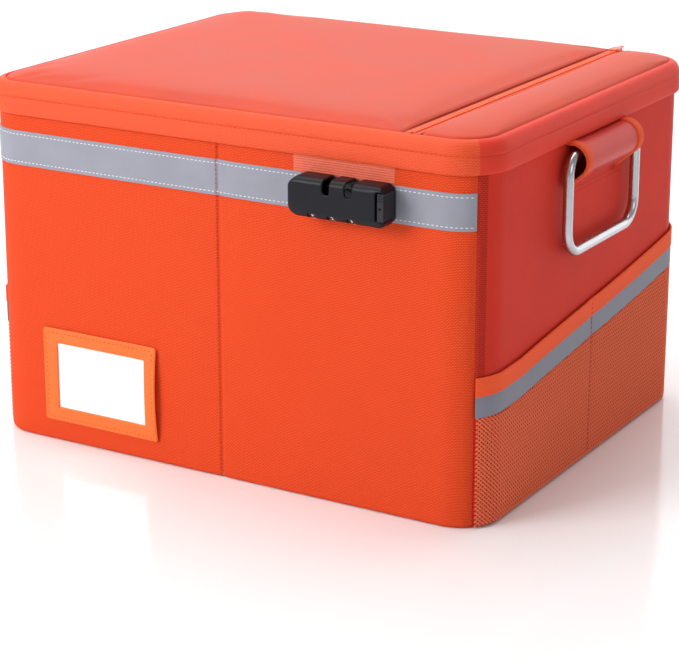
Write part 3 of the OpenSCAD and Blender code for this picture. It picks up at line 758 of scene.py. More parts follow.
def round_the_rim(name, outer, inner, material, body, replaces=(), step=4 * MM, wave=0.0, ends=None):
    """A band that runs round the rim, or between two ends of it. outer and inner are lists of (out, z)."""
    outer, inner = np.array(outer), np.array(inner)
    s = spaced(*ends, step) if ends else spaced(0, RIM, step)[:-1]
    uv = grid_uv(s if ends else np.append(s, RIM), outer[0, 1] + run_length(outer))
    grid = on_rim(s[:, None], outer[None, :, 0], outer[None, :, 1])
    if wave:
        push = wave * ripple(grid, 28 * MM, 5)
        grid = on_rim(s[:, None], outer[None, :, 0] + push, outer[None, :, 1])
    back = on_rim(s[:, None], inner[None, :, 0], inner[None, :, 1])
    made = slab(name, grid, back, uv, material, closed=not ends)
    return finish_piece(made, body, replaces)


def bead(low, high, out, thick):
    """Outer profile of a soft band: its edges turn in over its thickness."""
    r = min(thick, (high - low) / 2)
    turn = [math.pi / 2 * k / 5 for k in range(6)]
    bottom = [(out - r * (1 - math.sin(t)), low + r * (1 - math.cos(t))) for t in turn]
    top = [(out - r * (1 - math.cos(t)), high - r * (1 - math.sin(t))) for t in turn]
    return bottom + top


def binding_and_rim_zip():
    outer = bead(WALL_TOP, RIM_TOP + 0.2 * MM, 0.1 * MM, 1.4 * MM)
    inner = [(-5.0 * MM, z) for _, z in outer]
    round_the_rim("rim_binding_tape", outer, inner, binding_web, "box", ["rim_binding"])
    for part, body in (("lower", "box"), ("upper", "lid")):
        low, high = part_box(f"rim_tape_{part}")
        out, end = high.x - HALF_W, RIM_ZIP_END[part]
        heights = np.linspace(low.z, high.z, 5)
        outer, inner = ([(face, z) for z in heights] for face in (out, out - 0.6 * MM))
        round_the_rim(f"zip_tape_{part}", outer, inner, zip_cloth, body, [f"rim_tape_{part}"],
                      ends=(end - RIM / 2, RIM / 2 - end))
        coil(part, body, end)


def coil(part, body, end):
    """Zip teeth: small rounded loops side by side along the tape's edge."""
    low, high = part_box(f"rim_coil_{part}")
    half_out, half_along, pitch = 0.9 * MM, 0.75 * MM, 2.2 * MM
    out, mid = high.x - HALF_W - half_out, (low.z + high.z) / 2
    count = int((RIM - 2 * end) / pitch)
    s = -RIM / 2 + end + (np.arange(count) + 0.5) * pitch
    half_size = (half_along, half_out, (high.z - low.z) / 2)
    shape = tooth(((-1, 0.55), (-0.5, 0.92), (0.5, 0.92), (1, 0.55)), half_size)
    teeth = []
    for point, normal in zip(*rim(s)):
        axes = np.array([(-normal[1], normal[0], 0), (normal[0], normal[1], 0), (0, 0, 1)])
        teeth.append(shape @ axes + (*(point + normal * out), mid))
    made = new_object(f"zip_teeth_{part}", *tubes(teeth), zip_nylon)
    finish_piece(made, body, [f"rim_coil_{part}"], sharp=70)


# ---- front trim ----

def front_trim():
    low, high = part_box("front_reflector")
    s = spaced(FRONT_ENDS[0] + 0.3 * MM, FRONT_ENDS[1] - 0.3 * MM, 4 * MM, [0.0], 0.5 * MM, 4 * MM)
    strip = wall_piece("front_tape", s, level(s, edged(low.z, high.z, 2 * MM, 0.5 * MM)), 0.7 * MM, tape,
                       edge=0.5 * MM, sunk=0.4 * MM)
    finish_piece(strip, "box", ["front_reflector"])
    inset = 2.6 * MM
    run = np.arange(FRONT_ENDS[0] + 1 * MM, FRONT_ENDS[1] - 1 * MM, 2 * MM)
    rows = [wall_row(run, z, 0.75 * MM) for z in (low.z + inset, high.z - inset)]
    stitches("tape_stitches", rows, thread_pale, "box", (2.1, 1.2, 0.6, 0.3))
    up = np.arange(5 * MM, WALL_TOP, 2 * MM)
    seam = wall_row(-1.6 * MM + 0 * up, up, 0.05 * MM)
    over_tape = (up > low.z) & (up < high.z)
    seam[0][over_tape, 1] -= 0.7 * MM
    stitches("front_seam_stitches", [seam], thread_red, "box", (2.0, 1.1, 0.6, 0.3))
    low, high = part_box("lock_patch")
    s = spaced(low.x, high.x, 2 * MM)
    patch = wall_piece("lock_webbing", s, level(s, edged(low.z, high.z, 1.2 * MM, 0.4 * MM)), 0.6 * MM,
                       webbing, edge=0.4 * MM, sunk=0.3 * MM, round_ends=True)
    finish_piece(patch, "box", ["lock_patch"])


def label():
    """Stitched leather frame whose right side stays open, so that it stands off the wall there."""
    low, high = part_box("label_frame")
    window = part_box("label_window")
    width, height = high.x - low.x, high.z - low.z
    left, right = low.x + 12.5 * MM, high.x - 10.5 * MM
    bottom, top_edge = window[0].z + 3.2 * MM, window[1].z - 3.2 * MM

    def stand(x, z):
        """How far the frame stands off the wall."""
        opening = np.clip((x - high.x + 26 * MM) / (26 * MM), 0, 1) ** 2
        belly = np.sin(math.pi * np.clip((z - low.z) / height, 0, 1)) ** 0.7
        return 0.9 * MM + 3.4 * MM * opening * belly

    def lines(start, end, hole_start, hole_end, count):
        """Grid lines across the frame, closer at its edges and the window's."""
        near = [start + 1 * MM, start + 3 * MM, hole_start - 0.8 * MM, hole_start]
        far = [hole_end, hole_end + 0.8 * MM, end - 3 * MM, end - 1 * MM]
        return np.unique(np.round(near + far + list(np.linspace(start, end, count)), 6))

    mid_x, mid_z, corner = (low.x + high.x) / 2, (low.z + high.z) / 2, 2.5 * MM
    xs, zs = lines(low.x, high.x, left, right, 34), lines(low.z, high.z, bottom, top_edge, 26)
    across, up = rounded_grid(xs - mid_x, zs - mid_z, width / 2, height / 2, corner)
    x, z = across + mid_x, up + mid_z
    edge = edge_gap(across, up, width / 2, height / 2, corner)
    hole = np.maximum(np.maximum(left - x, x - right), np.maximum(bottom - z, z - top_edge))
    near = np.minimum(np.maximum(edge, 0), np.maximum(hole, 0))
    press = 0.25 * MM * dip(edge - 3 * MM, 0.7 * MM)
    under = -HALF_D - stand(x, z)
    top = under - 0.35 * MM - 0.75 * MM * round_over(near, 0.9 * MM) + press
    keep = (hole[:-1, :-1] + hole[1:, :-1] + hole[:-1, 1:] + hole[1:, 1:]) / 4 > 0
    made = slab("label_frame_leather", np.stack([x, top, z], -1), np.stack([x, under, z], -1),
                np.stack([x, z], -1), label_skin, keep=keep)
    finish_piece(made, "box", ["label_frame"])
    inset = 3 * MM
    x0, x1, z0, z1 = low.x + inset, high.x - inset, low.z + inset, high.z - inset
    path = [(x0, z0), (x1, z0), (x1, z1), (x0, z1), (x0, z0)]
    rows = []
    for a, b in zip(path[:-1], path[1:]):
        px, pz = (np.linspace(0, 1, 40)[:, None] * (np.array(b) - a) + a).T
        points = np.stack([px, -HALF_D - stand(px, pz) - 0.85 * MM, pz], -1)
        rows.append((points, np.array([[0, -1.0, 0]] * len(px))))
    stitches("label_stitches", rows, thread_orange, "box", (2.2, 1.3, 0.6, 0.3))


# ---- lid ----

def lid_height(x, y):
    """Top of the padded lid: a low crown that comes down to its edges and to the zip."""
    gap = np.maximum(edge_gap(x, y, HALF_W + PANEL_OUT, HALF_D + PANEL_OUT, CORNER_R + PANEL_OUT), 0)
    rise = (LID_TOP - CREASE_Z - 1.3 * MM) * (1 - 0.5 * dip(x - ZIP_X, 24 * MM))
    crown = CREASE_Z + 0.5 * MM + rise * (1 - np.exp(-gap / (15 * MM)))
    return crown - LID_ROLL * (1 - round_over(gap, 1.4 * MM))


def inflate(obj, pinned, cap):
    """Cloth simulation under pressure. pinned points stay, and no point moves further than cap."""
    group = obj.vertex_groups.new(name="pin")
    group.add([int(i) for i in np.flatnonzero(pinned)], 1.0, "REPLACE")
    cloth = obj.modifiers.new("Cloth", "CLOTH")
    settings = cloth.settings
    settings.vertex_group_mass = "pin"
    settings.quality = 6
    settings.use_pressure = True
    settings.uniform_pressure_force = 4.0
    settings.effector_weights.gravity = 0
    settings.tension_stiffness = settings.compression_stiffness = 25
    settings.bending_stiffness = 1.5
    cloth.point_cache.frame_start, cloth.point_cache.frame_end = 1, 20
    for step in range(1, 21):
        bpy.context.scene.frame_set(step)
    solved = obj.evaluated_get(bpy.context.evaluated_depsgraph_get())
    rest, moved = np.zeros(len(obj.data.vertices) * 3), np.zeros(len(obj.data.vertices) * 3)
    obj.data.vertices.foreach_get("co", rest)
    solved.data.vertices.foreach_get("co", moved)
    bpy.context.scene.frame_set(1)
    obj.modifiers.remove(cloth)
    obj.vertex_groups.remove(group)
    rest, moved = rest.reshape(-1, 3), moved.reshape(-1, 3)
    push = moved - rest
    far = np.linalg.norm(push, axis=1, keepdims=True)
    push = push / np.maximum(far, 1e-9) * cap * np.tanh(far / cap)
    obj.data.vertices.foreach_set("co", (rest + push).ravel())
    obj.data.update()


def lid_panel(name, xs, replaces):
    """Padded top panel: crowned, rolled down to its seams and to the zip."""
    hx, hy, r = HALF_W + PANEL_OUT, HALF_D + PANEL_OUT, CORNER_R + PANEL_OUT
    x, y = rounded_grid(xs, grid_lines(hy, r, 5 * MM), hx, hy, r)
    zip_side = xs[-1] if xs[0] < 0 else xs[0]
    bottom = 0 * x + CREASE_Z - LID_ROLL
    down = 1.9 * MM * (1 - round_over(np.abs(x - zip_side), LID_ROLL))
    top = np.maximum(lid_height(x, y) - down, bottom + 0.3 * MM)
    panel = flat_sheet(name, x, y, top, bottom, lid_cloth)
    border = np.ones(x.shape, bool)
    border[1:-1, 1:-1] = False
    inflate(panel, np.concatenate([border.ravel(), np.ones(x.size, bool)]), 0.9 * MM)
    fine = panel.modifiers.new("smooth", "SUBSURF")
    fine.levels = fine.render_levels = 1
    finish_piece(panel, "lid", replaces, sharp=50)


def lid():
    hx, r = HALF_W + PANEL_OUT, CORNER_R + PANEL_OUT
    lines = grid_lines(hx, r, 5 * MM)
    left_end, right_end = ZIP_X - HALF_CHANNEL, ZIP_X + HALF_CHANNEL
    roll = np.array([0, 0.1, 0.5, 1.3, 2.4, 4.4]) * MM
    main = np.sort(np.concatenate([lines[lines < left_end - 6 * MM], left_end - roll]))
    strip = np.sort(np.concatenate([right_end + roll, lines[lines > right_end + 6 * MM]]))
    lid_panel("lid_top_pad", main, ["lid_cover", "lid_foam"])
    lid_panel("lid_top_strip", strip, [])
    top_skirt()
    lid_zip()
    lid_slider()
    lid_inside()


def skirt_profile():
    """Outer face of the skirt from its hem to the crease: (out, z)."""
    out = SKIRT_OUT
    hem_top = SKIRT_LOW + 0.7 * MM
    hem = [(out - 0.9 * MM, SKIRT_LOW), (out - 0.35 * MM, SKIRT_LOW + 0.15 * MM), (out, hem_top)]
    climb = (SEAM_Z - SKIRT_LOW - 1.5 * MM) / 8
    lower = [(out + 0.55 * MM * math.sin(math.pi * k / 8), hem_top + climb * k) for k in range(1, 9)]
    seam = [(out - 0.25 * MM, SEAM_Z - 0.35 * MM), (out - 0.45 * MM, SEAM_Z)]
    seam.append((out - 0.1 * MM, SEAM_Z + 0.4 * MM))
    rise, reach = CREASE_Z - SEAM_Z - 1.1 * MM, out - CREASE_OUT
    upper = []
    for k in range(1, 13):
        t = math.pi / 2 * k / 12
        upper.append((CREASE_OUT + (reach + 0.25 * MM) * math.cos(t) ** 0.75,
                      SEAM_Z + 0.6 * MM + rise * math.sin(t) ** 1.15))
    tuck = [(CREASE_OUT - 0.35 * MM, CREASE_Z - 0.8 * MM), (CREASE_OUT - 0.6 * MM, CREASE_Z - 2.6 * MM)]
    return hem + lower + seam + upper + tuck


def top_skirt():
    outer = skirt_profile()
    inner = []
    for out, z in outer:
        drop = 0.9 * MM * max(0, z - SEAM_Z) / (CREASE_Z - SEAM_Z)
        inner.append((min(out - 1.2 * MM, SKIRT_OUT - 1.4 * MM), z - drop))
    for name, ends, cloth in (
        ("skirt_front", FRONT_ENDS, skirt_weave),
        ("skirt_side_right", (FRONT_SEAM, BACK_SEAM), skirt_coated),
        ("skirt_back", (BACK_SEAM, RIM - BACK_SEAM), skirt_weave),
        ("skirt_side_left", (RIM - BACK_SEAM, RIM + FRONT_ENDS[0]), skirt_coated),
    ):
        replaced = ["lid_skirt"] if name == "skirt_front" else []
        made = round_the_rim(name, outer, inner, cloth, "lid", replaced, step=3 * MM,
                             wave=0.12 * MM, ends=ends)
    s = spaced(0, RIM, 2 * MM)
    row = (on_rim(s, SKIRT_OUT - 0.42 * MM, SEAM_Z), np.concatenate([rim(s)[1], np.zeros((len(s), 1))], 1))
    stitches("skirt_stitches", [row], thread_orange, "lid", (2.6, 0.9, 0.55, 0.3))


def lid_zip():
    """Woven tape in the channel with the two halves of the coil standing on it."""
    hy = HALF_D + CREASE_OUT - 0.5 * MM
    half = np.array([0.2, 1.0, 1.9, 3.0, 4.2, 5.6, 7.2, 8.6]) * MM
    drop = np.array([0, 0, 0, 0, 0, 0.1, 0.4, 0.7]) * MM
    x, y = np.meshgrid(ZIP_X + np.concatenate([-half[::-1], half]), np.linspace(-hy, hy, 90), indexing="ij")
    top = ZIP_TAPE_Z - np.concatenate([drop[::-1], drop])[:, None] + 0 * x
    made = slab("lid_zip_cloth", np.stack([x, y, top], -1), np.stack([x, y, top - 0.6 * MM], -1),
                np.stack([x - ZIP_X, y], -1), lid_zip_cloth)
    finish_piece(made, "lid", ["lid_zip_tape"])
    pitch, mid_z = 1.6 * MM, (ZIP_TAPE_Z + ZIP_COIL_Z) / 2
    half_size = (0.95 * MM, 0.62 * MM, (ZIP_COIL_Z - ZIP_TAPE_Z) / 2 + 0.05 * MM)
    shape = tooth(((-1, 0.6), (-0.6, 1), (0.6, 1), (1, 0.6)), half_size)
    teeth = [shape + (ZIP_X + side * 1.15 * MM, middle, mid_z) for side in (-1, 1)
             for middle in np.arange(-hy + 1 * MM, hy - 1 * MM, pitch) + side * pitch / 4]
    made = new_object("lid_zip_teeth", *tubes(teeth), zip_nylon)
    finish_piece(made, "lid", ["lid_zip_coil"], sharp=70)
    run = np.linspace(-hy + 2 * MM, hy - 2 * MM, 160)
    line_x = np.full_like(run, ZIP_X + HALF_CHANNEL + 3.2 * MM)
    points = np.stack([line_x, run, lid_height(line_x, run) + 0.05 * MM], -1)
    row = (points, np.array([[0, 0, 1.0]] * len(run)))
    stitches("lid_zip_stitches", [row], thread_orange, "lid", (2.4, 1.1, 0.5, 0.25))


def lid_slider():
    """Saddle over the coil, with its pull lying back along the zip."""
    low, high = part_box("lid_slider")
    hx, hy, r = (high.x - low.x) / 2, 5 * MM, 1.8 * MM
    saddle_t, arch = 2.1 * MM, 0.9 * MM
    x, y = rounded_grid(np.linspace(-hx, hx, 27), np.linspace(-hy, hy, 31), hx, hy, r)
    edge = 1 - round_over(edge_gap(x, y, hx, hy, r), arch)
    top = low.z + saddle_t - 0.8 * MM * edge - 0.25 * MM * dip(y, 1.2 * MM)
    under = low.z + arch * (np.abs(x) < 2.4 * MM)
    saddle = flat_sheet("lid_slider_saddle", x + ZIP_X, y + low.y + hy, top, under, painted)
    finish_piece(saddle, "lid_zip", ["lid_slider"])
    px, py, r = 1.9 * MM, 4.4 * MM, 1.5 * MM
    x, y = rounded_grid(np.linspace(-px, px, 19), np.linspace(-py, py, 41), px, py, r)
    top = low.z + arch + 0.8 * MM - 0.35 * MM * (1 - round_over(edge_gap(x, y, px, py, r), 0.4 * MM))
    hole = (np.abs(x) < 0.8 * MM) & (np.abs(y - 1.6 * MM) < 1.5 * MM)
    keep = ~(hole[:-1, :-1] & hole[1:, :-1] & hole[:-1, 1:] & hole[1:, 1:])
    at_x, at_y = x + ZIP_X, y + low.y + 2 * hy + py - 1 * MM
    pull = slab("lid_slider_pull", np.stack([at_x, at_y, top], -1),
                np.stack([at_x, at_y, 0 * x + low.z + arch], -1), np.stack([x, y], -1), painted, keep=keep)
    finish_piece(pull, "lid_zip")


def lid_inside():
    hx, hy, x, y, gap = plate(1.0 * MM, 7 * MM)
    puff = 0.5 * MM * ripple(np.stack([x, y, 0 * x], -1), 55 * MM, 31) * np.clip(gap / (20 * MM), 0, 1)
    seam = 0.5 * MM * dip(gap - 14 * MM, 1.5 * MM)
    low = np.minimum(LID_UNDER + 0.1 * MM + puff * 0.5 + seam, LID_UNDER + 0.8 * MM)
    made = flat_sheet("lid_inner_cloth", x, y, 0 * x + LID_UNDER + 1.0 * MM, low, foil)
    finish_piece(made, "lid", ["lid_liner"])


def hinge():
    """One strip of fabric from the back wall up onto the skirt, with a fixed bend where the lid turns."""
    low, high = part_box("hinge_strip")
    bend_low, bend_high = 236 * MM, 245 * MM
    step_z, blend_low, blend_high = 238.2 * MM, 237.5 * MM, 242.5 * MM
    heights = np.unique(np.concatenate([
        np.linspace(low.z, bend_low, 12), np.linspace(bend_low, bend_high, 19),
        np.linspace(bend_high, SEAM_Z - 1.5 * MM, 6),
    ]))
    x, z = np.meshgrid(np.linspace(-high.x, high.x, 60), heights, indexing="ij")
    step = 1 / (1 + np.exp(-(z - step_z) / (0.7 * MM)))
    out = 0.9 * MM + (SKIRT_OUT + 0.75 * MM - 0.9 * MM) * step
    out = HALF_D + out + 0.12 * MM * ripple(np.stack([x, 0 * x, z], -1), 40 * MM, 44)
    outer, inner = (np.stack([x, out + face, z], -1) for face in (0.55 * MM, -0.25 * MM))
    made = slab("hinge_fabric", outer, inner, np.stack([x, z], -1), woven)
    finish_piece(made, None, ["hinge_strip"])
    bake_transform(made)


# ---- handles ----

def sleeve_path(radius):
    """Cross-section of the sleeve: from the wall over the ring's bar and down to the wall again."""
    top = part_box("sleeve_right")[1].z
    centre_x, centre_z, lean = HALF_W + 4.5 * MM, top - SLEEVE_R, math.radians(50)
    path = [(HALF_W - 0.5 * MM, centre_z + radius)]
    for k in range(23):
        angle = math.pi / 2 - (math.pi / 2 + lean) * k / 22
        path.append((centre_x + radius * math.cos(angle), centre_z + radius * math.sin(angle)))
    x, z = path[-1]
    for k in range(1, 7):
        far = (x - HALF_W + 0.5 * MM) / math.sin(lean) * k / 6
        path.append((x - far * math.sin(lean), z - far * math.cos(lean)))
    return np.array(path)


def sleeve(side, sign):
    """Fabric sleeve sewn to the wall round the ring's bar, with a binding at each end."""
    half_length, middle_z = 46 * MM, 227 * MM
    ys = np.linspace(-half_length, half_length, 40)
    squeeze = 1 - 0.035 * np.sin(math.pi * (ys / (2 * half_length) + 0.5)) ** 2
    centre = np.array([HALF_W, middle_z])

    def place(path, push=0.0):
        reach = (path[None] - centre) * np.stack([0 * ys + 1, squeeze], -1)[:, None] + centre
        grid = np.stack([sign * reach[..., 0], ys[:, None] + 0 * reach[..., 0], reach[..., 1]], -1)
        grid[..., 0] += sign * push * ripple(grid, 26 * MM, 61)
        return grid

    outer = sleeve_path(SLEEVE_R)
    lengths = run_length(outer)
    made = slab(f"sleeve_cloth_{side}", place(outer, 0.25 * MM), place(sleeve_path(SLEEVE_R - 1.1 * MM)),
                grid_uv(ys, lengths), sleeve_cloth)
    finish_piece(made, "box", [f"sleeve_{side}"])
    band_half, band_t, inset = 4.6 * MM, 1.1 * MM, 4.3 * MM
    across = np.array([-1, -0.92, -0.75, -0.4, 0, 0.4, 0.75, 0.92, 1])
    swell = np.sqrt(np.clip(1 - np.abs(across) ** 6, 0, 1))
    over = np.stack([sleeve_path(SLEEVE_R + band_t * k) for k in swell])
    under = np.stack([sleeve_path(SLEEVE_R - 1.0 * MM)] * len(swell))
    for end, centre_y in (("front", inset - half_length), ("back", half_length - inset)):
        faces = [np.stack([sign * paths[..., 0], centre_y + across[:, None] * band_half + 0 * paths[..., 0],
                           paths[..., 1]], -1) for paths in (over, under)]
        band = slab(f"sleeve_edge_{side}_{end}", *faces, grid_uv(across * band_half, lengths), binding_web)
        finish_piece(band, "box", [f"sleeve_binding_{side}"] if end == "front" else [])
    run = np.linspace(2 * MM - half_length, half_length - 2 * MM, 60)
    rows = [wall_row(sign * (SIDE_MIDDLE + run), z, 0.1 * MM) for z in (204.5 * MM, 201.5 * MM)]
    for step in range(6):
        tack = sign * (SIDE_MIDDLE + 30 * MM + step * 1.0 * MM)
        rows.append(wall_row(tack + np.zeros(3), np.array([203, 205.5, 208]) * MM, 0.9 * MM))
    stitches(f"sleeve_stitches_{side}", rows, thread_orange, "box", (2.4, 1.0, 0.55, 0.3))


def ring(side):
    """The bent steel rod, on the rod's own centre line."""
    low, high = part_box(f"handle_ring_{side}")
    rod, x = (high.x - low.x) / 2, (low.x + high.x) / 2
    half, mid_z, half_z = (high.y - low.y) / 2 - rod, (high.z + low.z) / 2, (high.z - low.z) / 2 - rod
    upper_bend, lower_bend = 13.5 * MM, 17 * MM
    turn = np.linspace(0, math.tau, 25)[:-1]
    rows = []
    for quarter, (sy, sz) in enumerate(((1, 1), (-1, 1), (-1, -1), (1, -1))):
        bend = upper_bend if sz > 0 else lower_bend
        for k in range(13):
            angle = math.pi / 2 * (quarter + k / 12)
            out = np.array([0, math.cos(angle), math.sin(angle)])
            centre = np.array([x, sy * (half - bend), mid_z + sz * (half_z - bend)]) + bend * out
            rows.append(centre + rod * (np.outer(np.cos(turn), out) + np.outer(np.sin(turn), (1, 0, 0))))
    made = new_object(f"ring_{side}_rod", *tubes([rows], closed=True), satin_steel)
    finish_piece(made, f"ring_{side}", [f"handle_ring_{side}"], sharp=80)


# ---- mesh pockets ----

def pocket_top(s):
    """Height of the pocket's top edge, which rises to the back."""
    y = rim(s)[0][:, 1]
    start, bend = -HALF_D - 10 * MM, -110 * MM
    front = 104 * MM + 2 * MM * (y - start) / (bend - start)
    back = 106 * MM + 33 * MM * (y - bend) / (-start - bend)
    return np.where(y < bend, front, back) + 1.0 * MM * np.sin(math.pi * (y + HALF_D) / HALF_D)


def pocket_out(s, z):
    """The pocket's face: it stands off the wall between its sewn edges."""
    s, z = np.broadcast_arrays(np.asarray(s, float), z)
    along = (np.abs(s) - FRONT_SEAM) / (BACK_SEAM - FRONT_SEAM)
    top = pocket_top(s.ravel()).reshape(s.shape)
    up = np.clip(z / top, 0, 1)
    slack = np.clip(np.sin(math.pi * np.clip(along, 0, 1)), 0, 1) ** 0.5
    middle = 1 - 0.45 * dip(along - 0.5, 0.02)
    turn = WALL_EDGE_R * (1 - round_over(z, WALL_EDGE_R))
    return 1.0 * MM + 0.9 * MM * slack * middle * np.sin(math.pi * up * 0.6) - turn


def pocket(side, sign):
    """Mesh pocket with its elastic, its reflective band and a seam down the middle."""
    ends = span(sign, SEAM_OF[sign] + 0.4 * MM, BACK_SEAM - 0.4 * MM)
    divider = sign * SIDE_MIDDLE
    s = spaced(*ends, 2.5 * MM, [divider], 0.5 * MM, 3 * MM)
    top = pocket_top(s)
    elastic_h, tape_h = 13 * MM, 14.5 * MM
    for name, start, end, thick, cloth, slot, node in (
        ("pocket_band", 0 * MM, elastic_h, 1.1 * MM, elastic, "elastic", "pocket_elastic"),
        ("pocket_tape", elastic_h - 0.3 * MM, elastic_h + tape_h, 0.7 * MM, shaded_side_tape, "reflective",
         "pocket_reflector"),
    ):
        edge = 0.5 * MM
        z = (top - end)[:, None] + edged(0.0, end - start, 1.6 * MM, edge)[None, :]
        made = wall_piece(f"{name}_{side}", s, z, thick, cloth, edge=edge, sunk=0.1 * MM, base=pocket_out)
        finish_piece(made, "box", [f"{node}_{side}"])
    net(side, sign, elastic_h + tape_h - 0.6 * MM)
    up = np.arange(5 * MM, float(pocket_top(divider)[0]) - 1 * MM, 2 * MM)
    row = wall_row(divider + 0 * up, up, 1.1 * MM, base=pocket_out)
    stitches(f"pocket_divider_{side}", [row], thread_red, "box", (2.4, 1.2, 0.6, 0.35))


def net(side, sign, trim_h):
    """Diamond mesh: two sets of slanting threads that pass over and under each other."""
    cell, low, tallest = 3.0 * MM, 1.2 * MM, 145 * MM
    thread_t, weave_h = 0.28 * MM, 0.16 * MM
    begin, end = SEAM_OF[sign] + 0.8 * MM, BACK_SEAM - 0.8 * MM
    steps = 2 * round(tallest / cell)
    climb = low + np.arange(steps) * cell / 2
    threads = []
    for slant in (1, -1):
        half_w = (0.58 if slant < 0 else 0.4) * MM * math.sqrt(0.5)
        over = np.where(np.arange(steps) % 2 == (0 if slant > 0 else 1), weave_h, -weave_h)
        for k in range(int((end - begin + tallest) / cell) + 1):
            start = begin - tallest + k * cell
            along = start + climb if slant > 0 else start + steps * cell / 2 - climb + low
            inside = (along > begin) & (along < end) & (climb < pocket_top(sign * along) - trim_h)
            if inside.sum() < 2:
                continue
            s, z = sign * along[inside], climb[inside]
            out = pocket_out(s, z) + 0.25 * MM + over[inside]
            corners = [on_rim(s + sign * a * half_w, out + b * thread_t, z - a * slant * half_w)
                       for a, b in ((-1, -0.2), (0, 1), (1, -0.2), (0, -1))]
            threads.append(np.stack(corners, 1))
    made = new_object(f"pocket_net_{side}", *tubes(threads), net_thread)
    finish_piece(made, "box", [f"mesh_pocket_{side}"], sharp=120)
    height = float(pocket_top(sign * end)[0])
    s = spaced(*span(sign, begin, end), 5 * MM)
    z = low + (pocket_top(s) - trim_h - low)[:, None] * np.linspace(0, 1, 24)[None, :]
    back = wall_piece(f"pocket_backing_{side}", s, z, 0.5 * MM, net_backing, edge=0.3 * MM,
                      base=lambda s, z: pocket_out(s, z) - 0.75 * MM)
    finish_piece(back, "box")


# ---- lock ----

def lock_shell():
    """The moulded case: the CAD solid with its edges softened and its outer corners drawn in."""
    source = NODES["lock_case"]
    verts = [source.matrix_world @ v.co for v in source.data.vertices]
    shell = new_object("lock_shell", verts, [list(p.vertices) for p in source.data.polygons], black_plastic)
    even = shell.modifiers.new("even", "REMESH")
    even.mode, even.voxel_size = "VOXEL", 0.5 * MM
    soft = shell.modifiers.new("soft", "SMOOTH")
    soft.factor, soft.iterations = 0.5, 12
    bpy.context.view_layer.update()
    mesh = bpy.data.meshes.new_from_object(shell.evaluated_get(bpy.context.evaluated_depsgraph_get()))
    shell.modifiers.clear()
    shell.data = mesh
    if not mesh.materials:
        mesh.materials.append(black_plastic)
    low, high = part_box("lock_case")
    centre, half = np.array((low + high) / 2), np.array((high - low) / 2)
    at = np.zeros(len(mesh.vertices) * 3)
    mesh.vertices.foreach_get("co", at)
    x, y, z = (at.reshape(-1, 3) - centre).T
    r = np.where(x < 0, 8.5 * MM, 5.5 * MM)
    new_x, new_z = draw_in(x, z, half[0], half[2], r)
    edge = 1 - round_over(edge_gap(new_x, new_z, half[0], half[2], r), 5 * MM)
    depth = 2.6 * MM - 2.2 * MM * np.clip((x - half[0] + 12 * MM) / (6 * MM), 0, 1)
    new_y = y + depth * edge * np.clip(-y / half[1], 0, 1)
    mesh.vertices.foreach_set("co", (np.stack([new_x, new_y, new_z], -1) + centre).ravel())
    finish_piece(shell, "box", ["lock_case"], sharp=60)


def release_spring():
    """The spring behind the release slide, as a fixed coil at its rest length; the real one shortens as the
    slide is pushed.
    """
    low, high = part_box("release_spring")
    centre, wire = (low + high) / 2, 0.25 * MM
    coil_r = (high.z - low.z) / 2 - wire
    turns, steps = 6, 24
    around = math.tau * np.arange(8) / 8
    rings = []
    for i in range(turns * steps + 1):
        angle = math.tau * i / steps
        x = low.x + wire + (high.x - low.x - 2 * wire) * i / (turns * steps)
        out = coil_r + wire * np.cos(around)
        rings.append(np.stack([x + wire * np.sin(around), centre.y + out * math.cos(angle),
                               centre.z + out * math.sin(angle)], -1))
    made = new_object("release_spring_wire", *tubes([rings]), steel)
    finish_piece(made, None, ["release_spring"])
    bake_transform(made)


def lock():
    lock_shell()
    release_spring()
    edge = NODES["release_button"].modifiers.new("soft_edges", "BEVEL")
    edge.width, edge.segments, edge.limit_method, edge.angle_limit = 0.35 * MM, 2, "ANGLE", math.radians(40)
    edge.harden_normals = False
    for number, node_name in enumerate(("dial_1", "dial_2", "dial_3")):
        digits(number, node_name)


def digits(number, node_name):
    """The digits 0 to 9 round one dial, printed on its flats."""
    low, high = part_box(node_name)
    centre = (low + high) / 2
    radius = (high.y - low.y) / 2 + 0.02 * MM
    verts, faces = [], []
    for k in range(10):
        text = bpy.data.curves.new(f"digit_{k}", "FONT")
        text.body = str((k + 3 * number) % 10)
        text.size = 3.4 * MM
        text.extrude = 0.15 * MM
        text.align_x, text.align_y = "CENTER", "CENTER"
        text.resolution_u = 2
        holder = bpy.data.objects.new(f"digit_{k}", text)
        bpy.context.scene.collection.objects.link(holder)
        bpy.context.view_layer.update()
        flat = holder.evaluated_get(bpy.context.evaluated_depsgraph_get()).to_mesh()
        angle = math.radians(36 * k)
        start = len(verts)
        for v in flat.vertices:
            x, up, out = v.co.x, v.co.y, v.co.z
            y = -(radius + out) * math.cos(angle) + up * math.sin(angle)
            z = (radius + out) * math.sin(angle) + up * math.cos(angle)
            verts.append((centre.x + x, centre.y + y, centre.z + z))
        faces += [[start + i for i in p.vertices] for p in flat.polygons]
        bpy.data.objects.remove(holder)
        bpy.data.curves.remove(text)
    made = new_object(f"dial_digits_{number + 1}", verts, faces, white_paint)
    finish_piece(made, f"dial_{'abc'[number]}", sharp=30)


# ---- stage ----

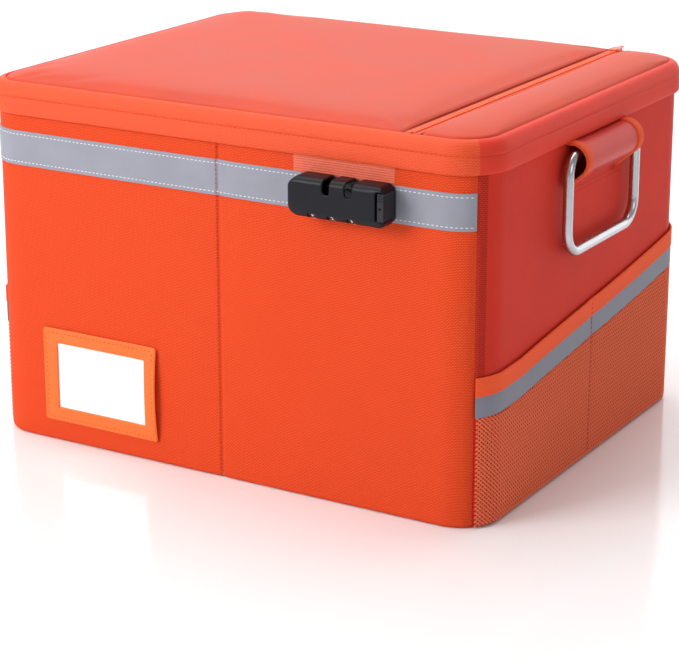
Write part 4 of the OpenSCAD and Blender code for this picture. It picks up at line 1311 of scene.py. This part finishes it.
def stage():
    """A plain floor just under the box."""
    size, drop = 6.0, -0.2 * MM
    mesh = bpy.data.meshes.new("floor")
    corners = ((-size, -size), (size, -size), (size, size), (-size, size))
    mesh.from_pydata([(x, y, drop) for x, y in corners], [], [(0, 1, 2, 3)])
    m = Shader("floor_white", Specular_IOR_Level=0.5)
    soft = m.noise(m.solid(), 3.0)
    m.colour(m.blend(soft, (0.90, 0.90, 0.90), (0.93, 0.93, 0.93)))
    m.roughness(soft, 0.1, 0.14)
    mesh.materials.append(m.material)
    floor = bpy.data.objects.new("floor", mesh)
    bpy.context.scene.collection.objects.link(floor)


def lamp(name, place, target, size, power):
    data = bpy.data.lights.new(name, "AREA")
    data.shape, data.size, data.size_y = "RECTANGLE", size[0], size[1]
    data.energy = power
    obj = bpy.data.objects.new(name, data)
    aim = np.array(target, float) - np.array(place, float)
    obj.location = place
    obj.rotation_euler = Vector(aim).to_track_quat("-Z", "Y").to_euler()
    bpy.context.scene.collection.objects.link(obj)


def lights_and_camera():
    world = bpy.data.worlds.new("studio")
    world.use_nodes = True
    world.node_tree.nodes["Background"].inputs[0].default_value = (1, 1, 1, 1)
    world.node_tree.nodes["Background"].inputs[1].default_value = 0.36
    scene = bpy.context.scene
    scene.world = world
    scene.view_settings.view_transform = "Standard"
    lamp("front_softbox", (-1.0, -1.7, 1.0), (0, -0.1, 0.1), (1.1, 0.9), 32)
    lamp("top_softbox", (-0.5, 0.2, 2.0), (0, 0, 0), (2.4, 2.0), 37)
    lamp("side_fill", (2.4, -0.9, 1.0), (0.1, 0, 0.05), (1.2, 1.2), 7)
    lamp("backdrop", (-1.5, 3.4, 1.3), (-1.5, 0, 1.3), (12.0, 2.6), 120)
    data = bpy.data.cameras.new("camera")
    data.sensor_width = 36
    data.lens = 119.2
    data.shift_y = -0.1
    data.clip_start, data.clip_end = 0.05, 50
    camera = bpy.data.objects.new("camera", data)
    yaw, pitch = math.radians(30.69), math.radians(16.4)
    camera.location = (0.8159, -1.3797, 0.5857)
    camera.rotation_euler = (math.pi / 2 - pitch, 0, yaw)
    scene.collection.objects.link(camera)
    scene.camera = camera


front_and_back()
base()
liner()
binding_and_rim_zip()
front_trim()
label()
lid()
hinge()
for side_name, side_sign in SIDES:
    sleeve(side_name, side_sign)
    ring(side_name)
    pocket(side_name, side_sign)
lock()
stage()
lights_and_camera()
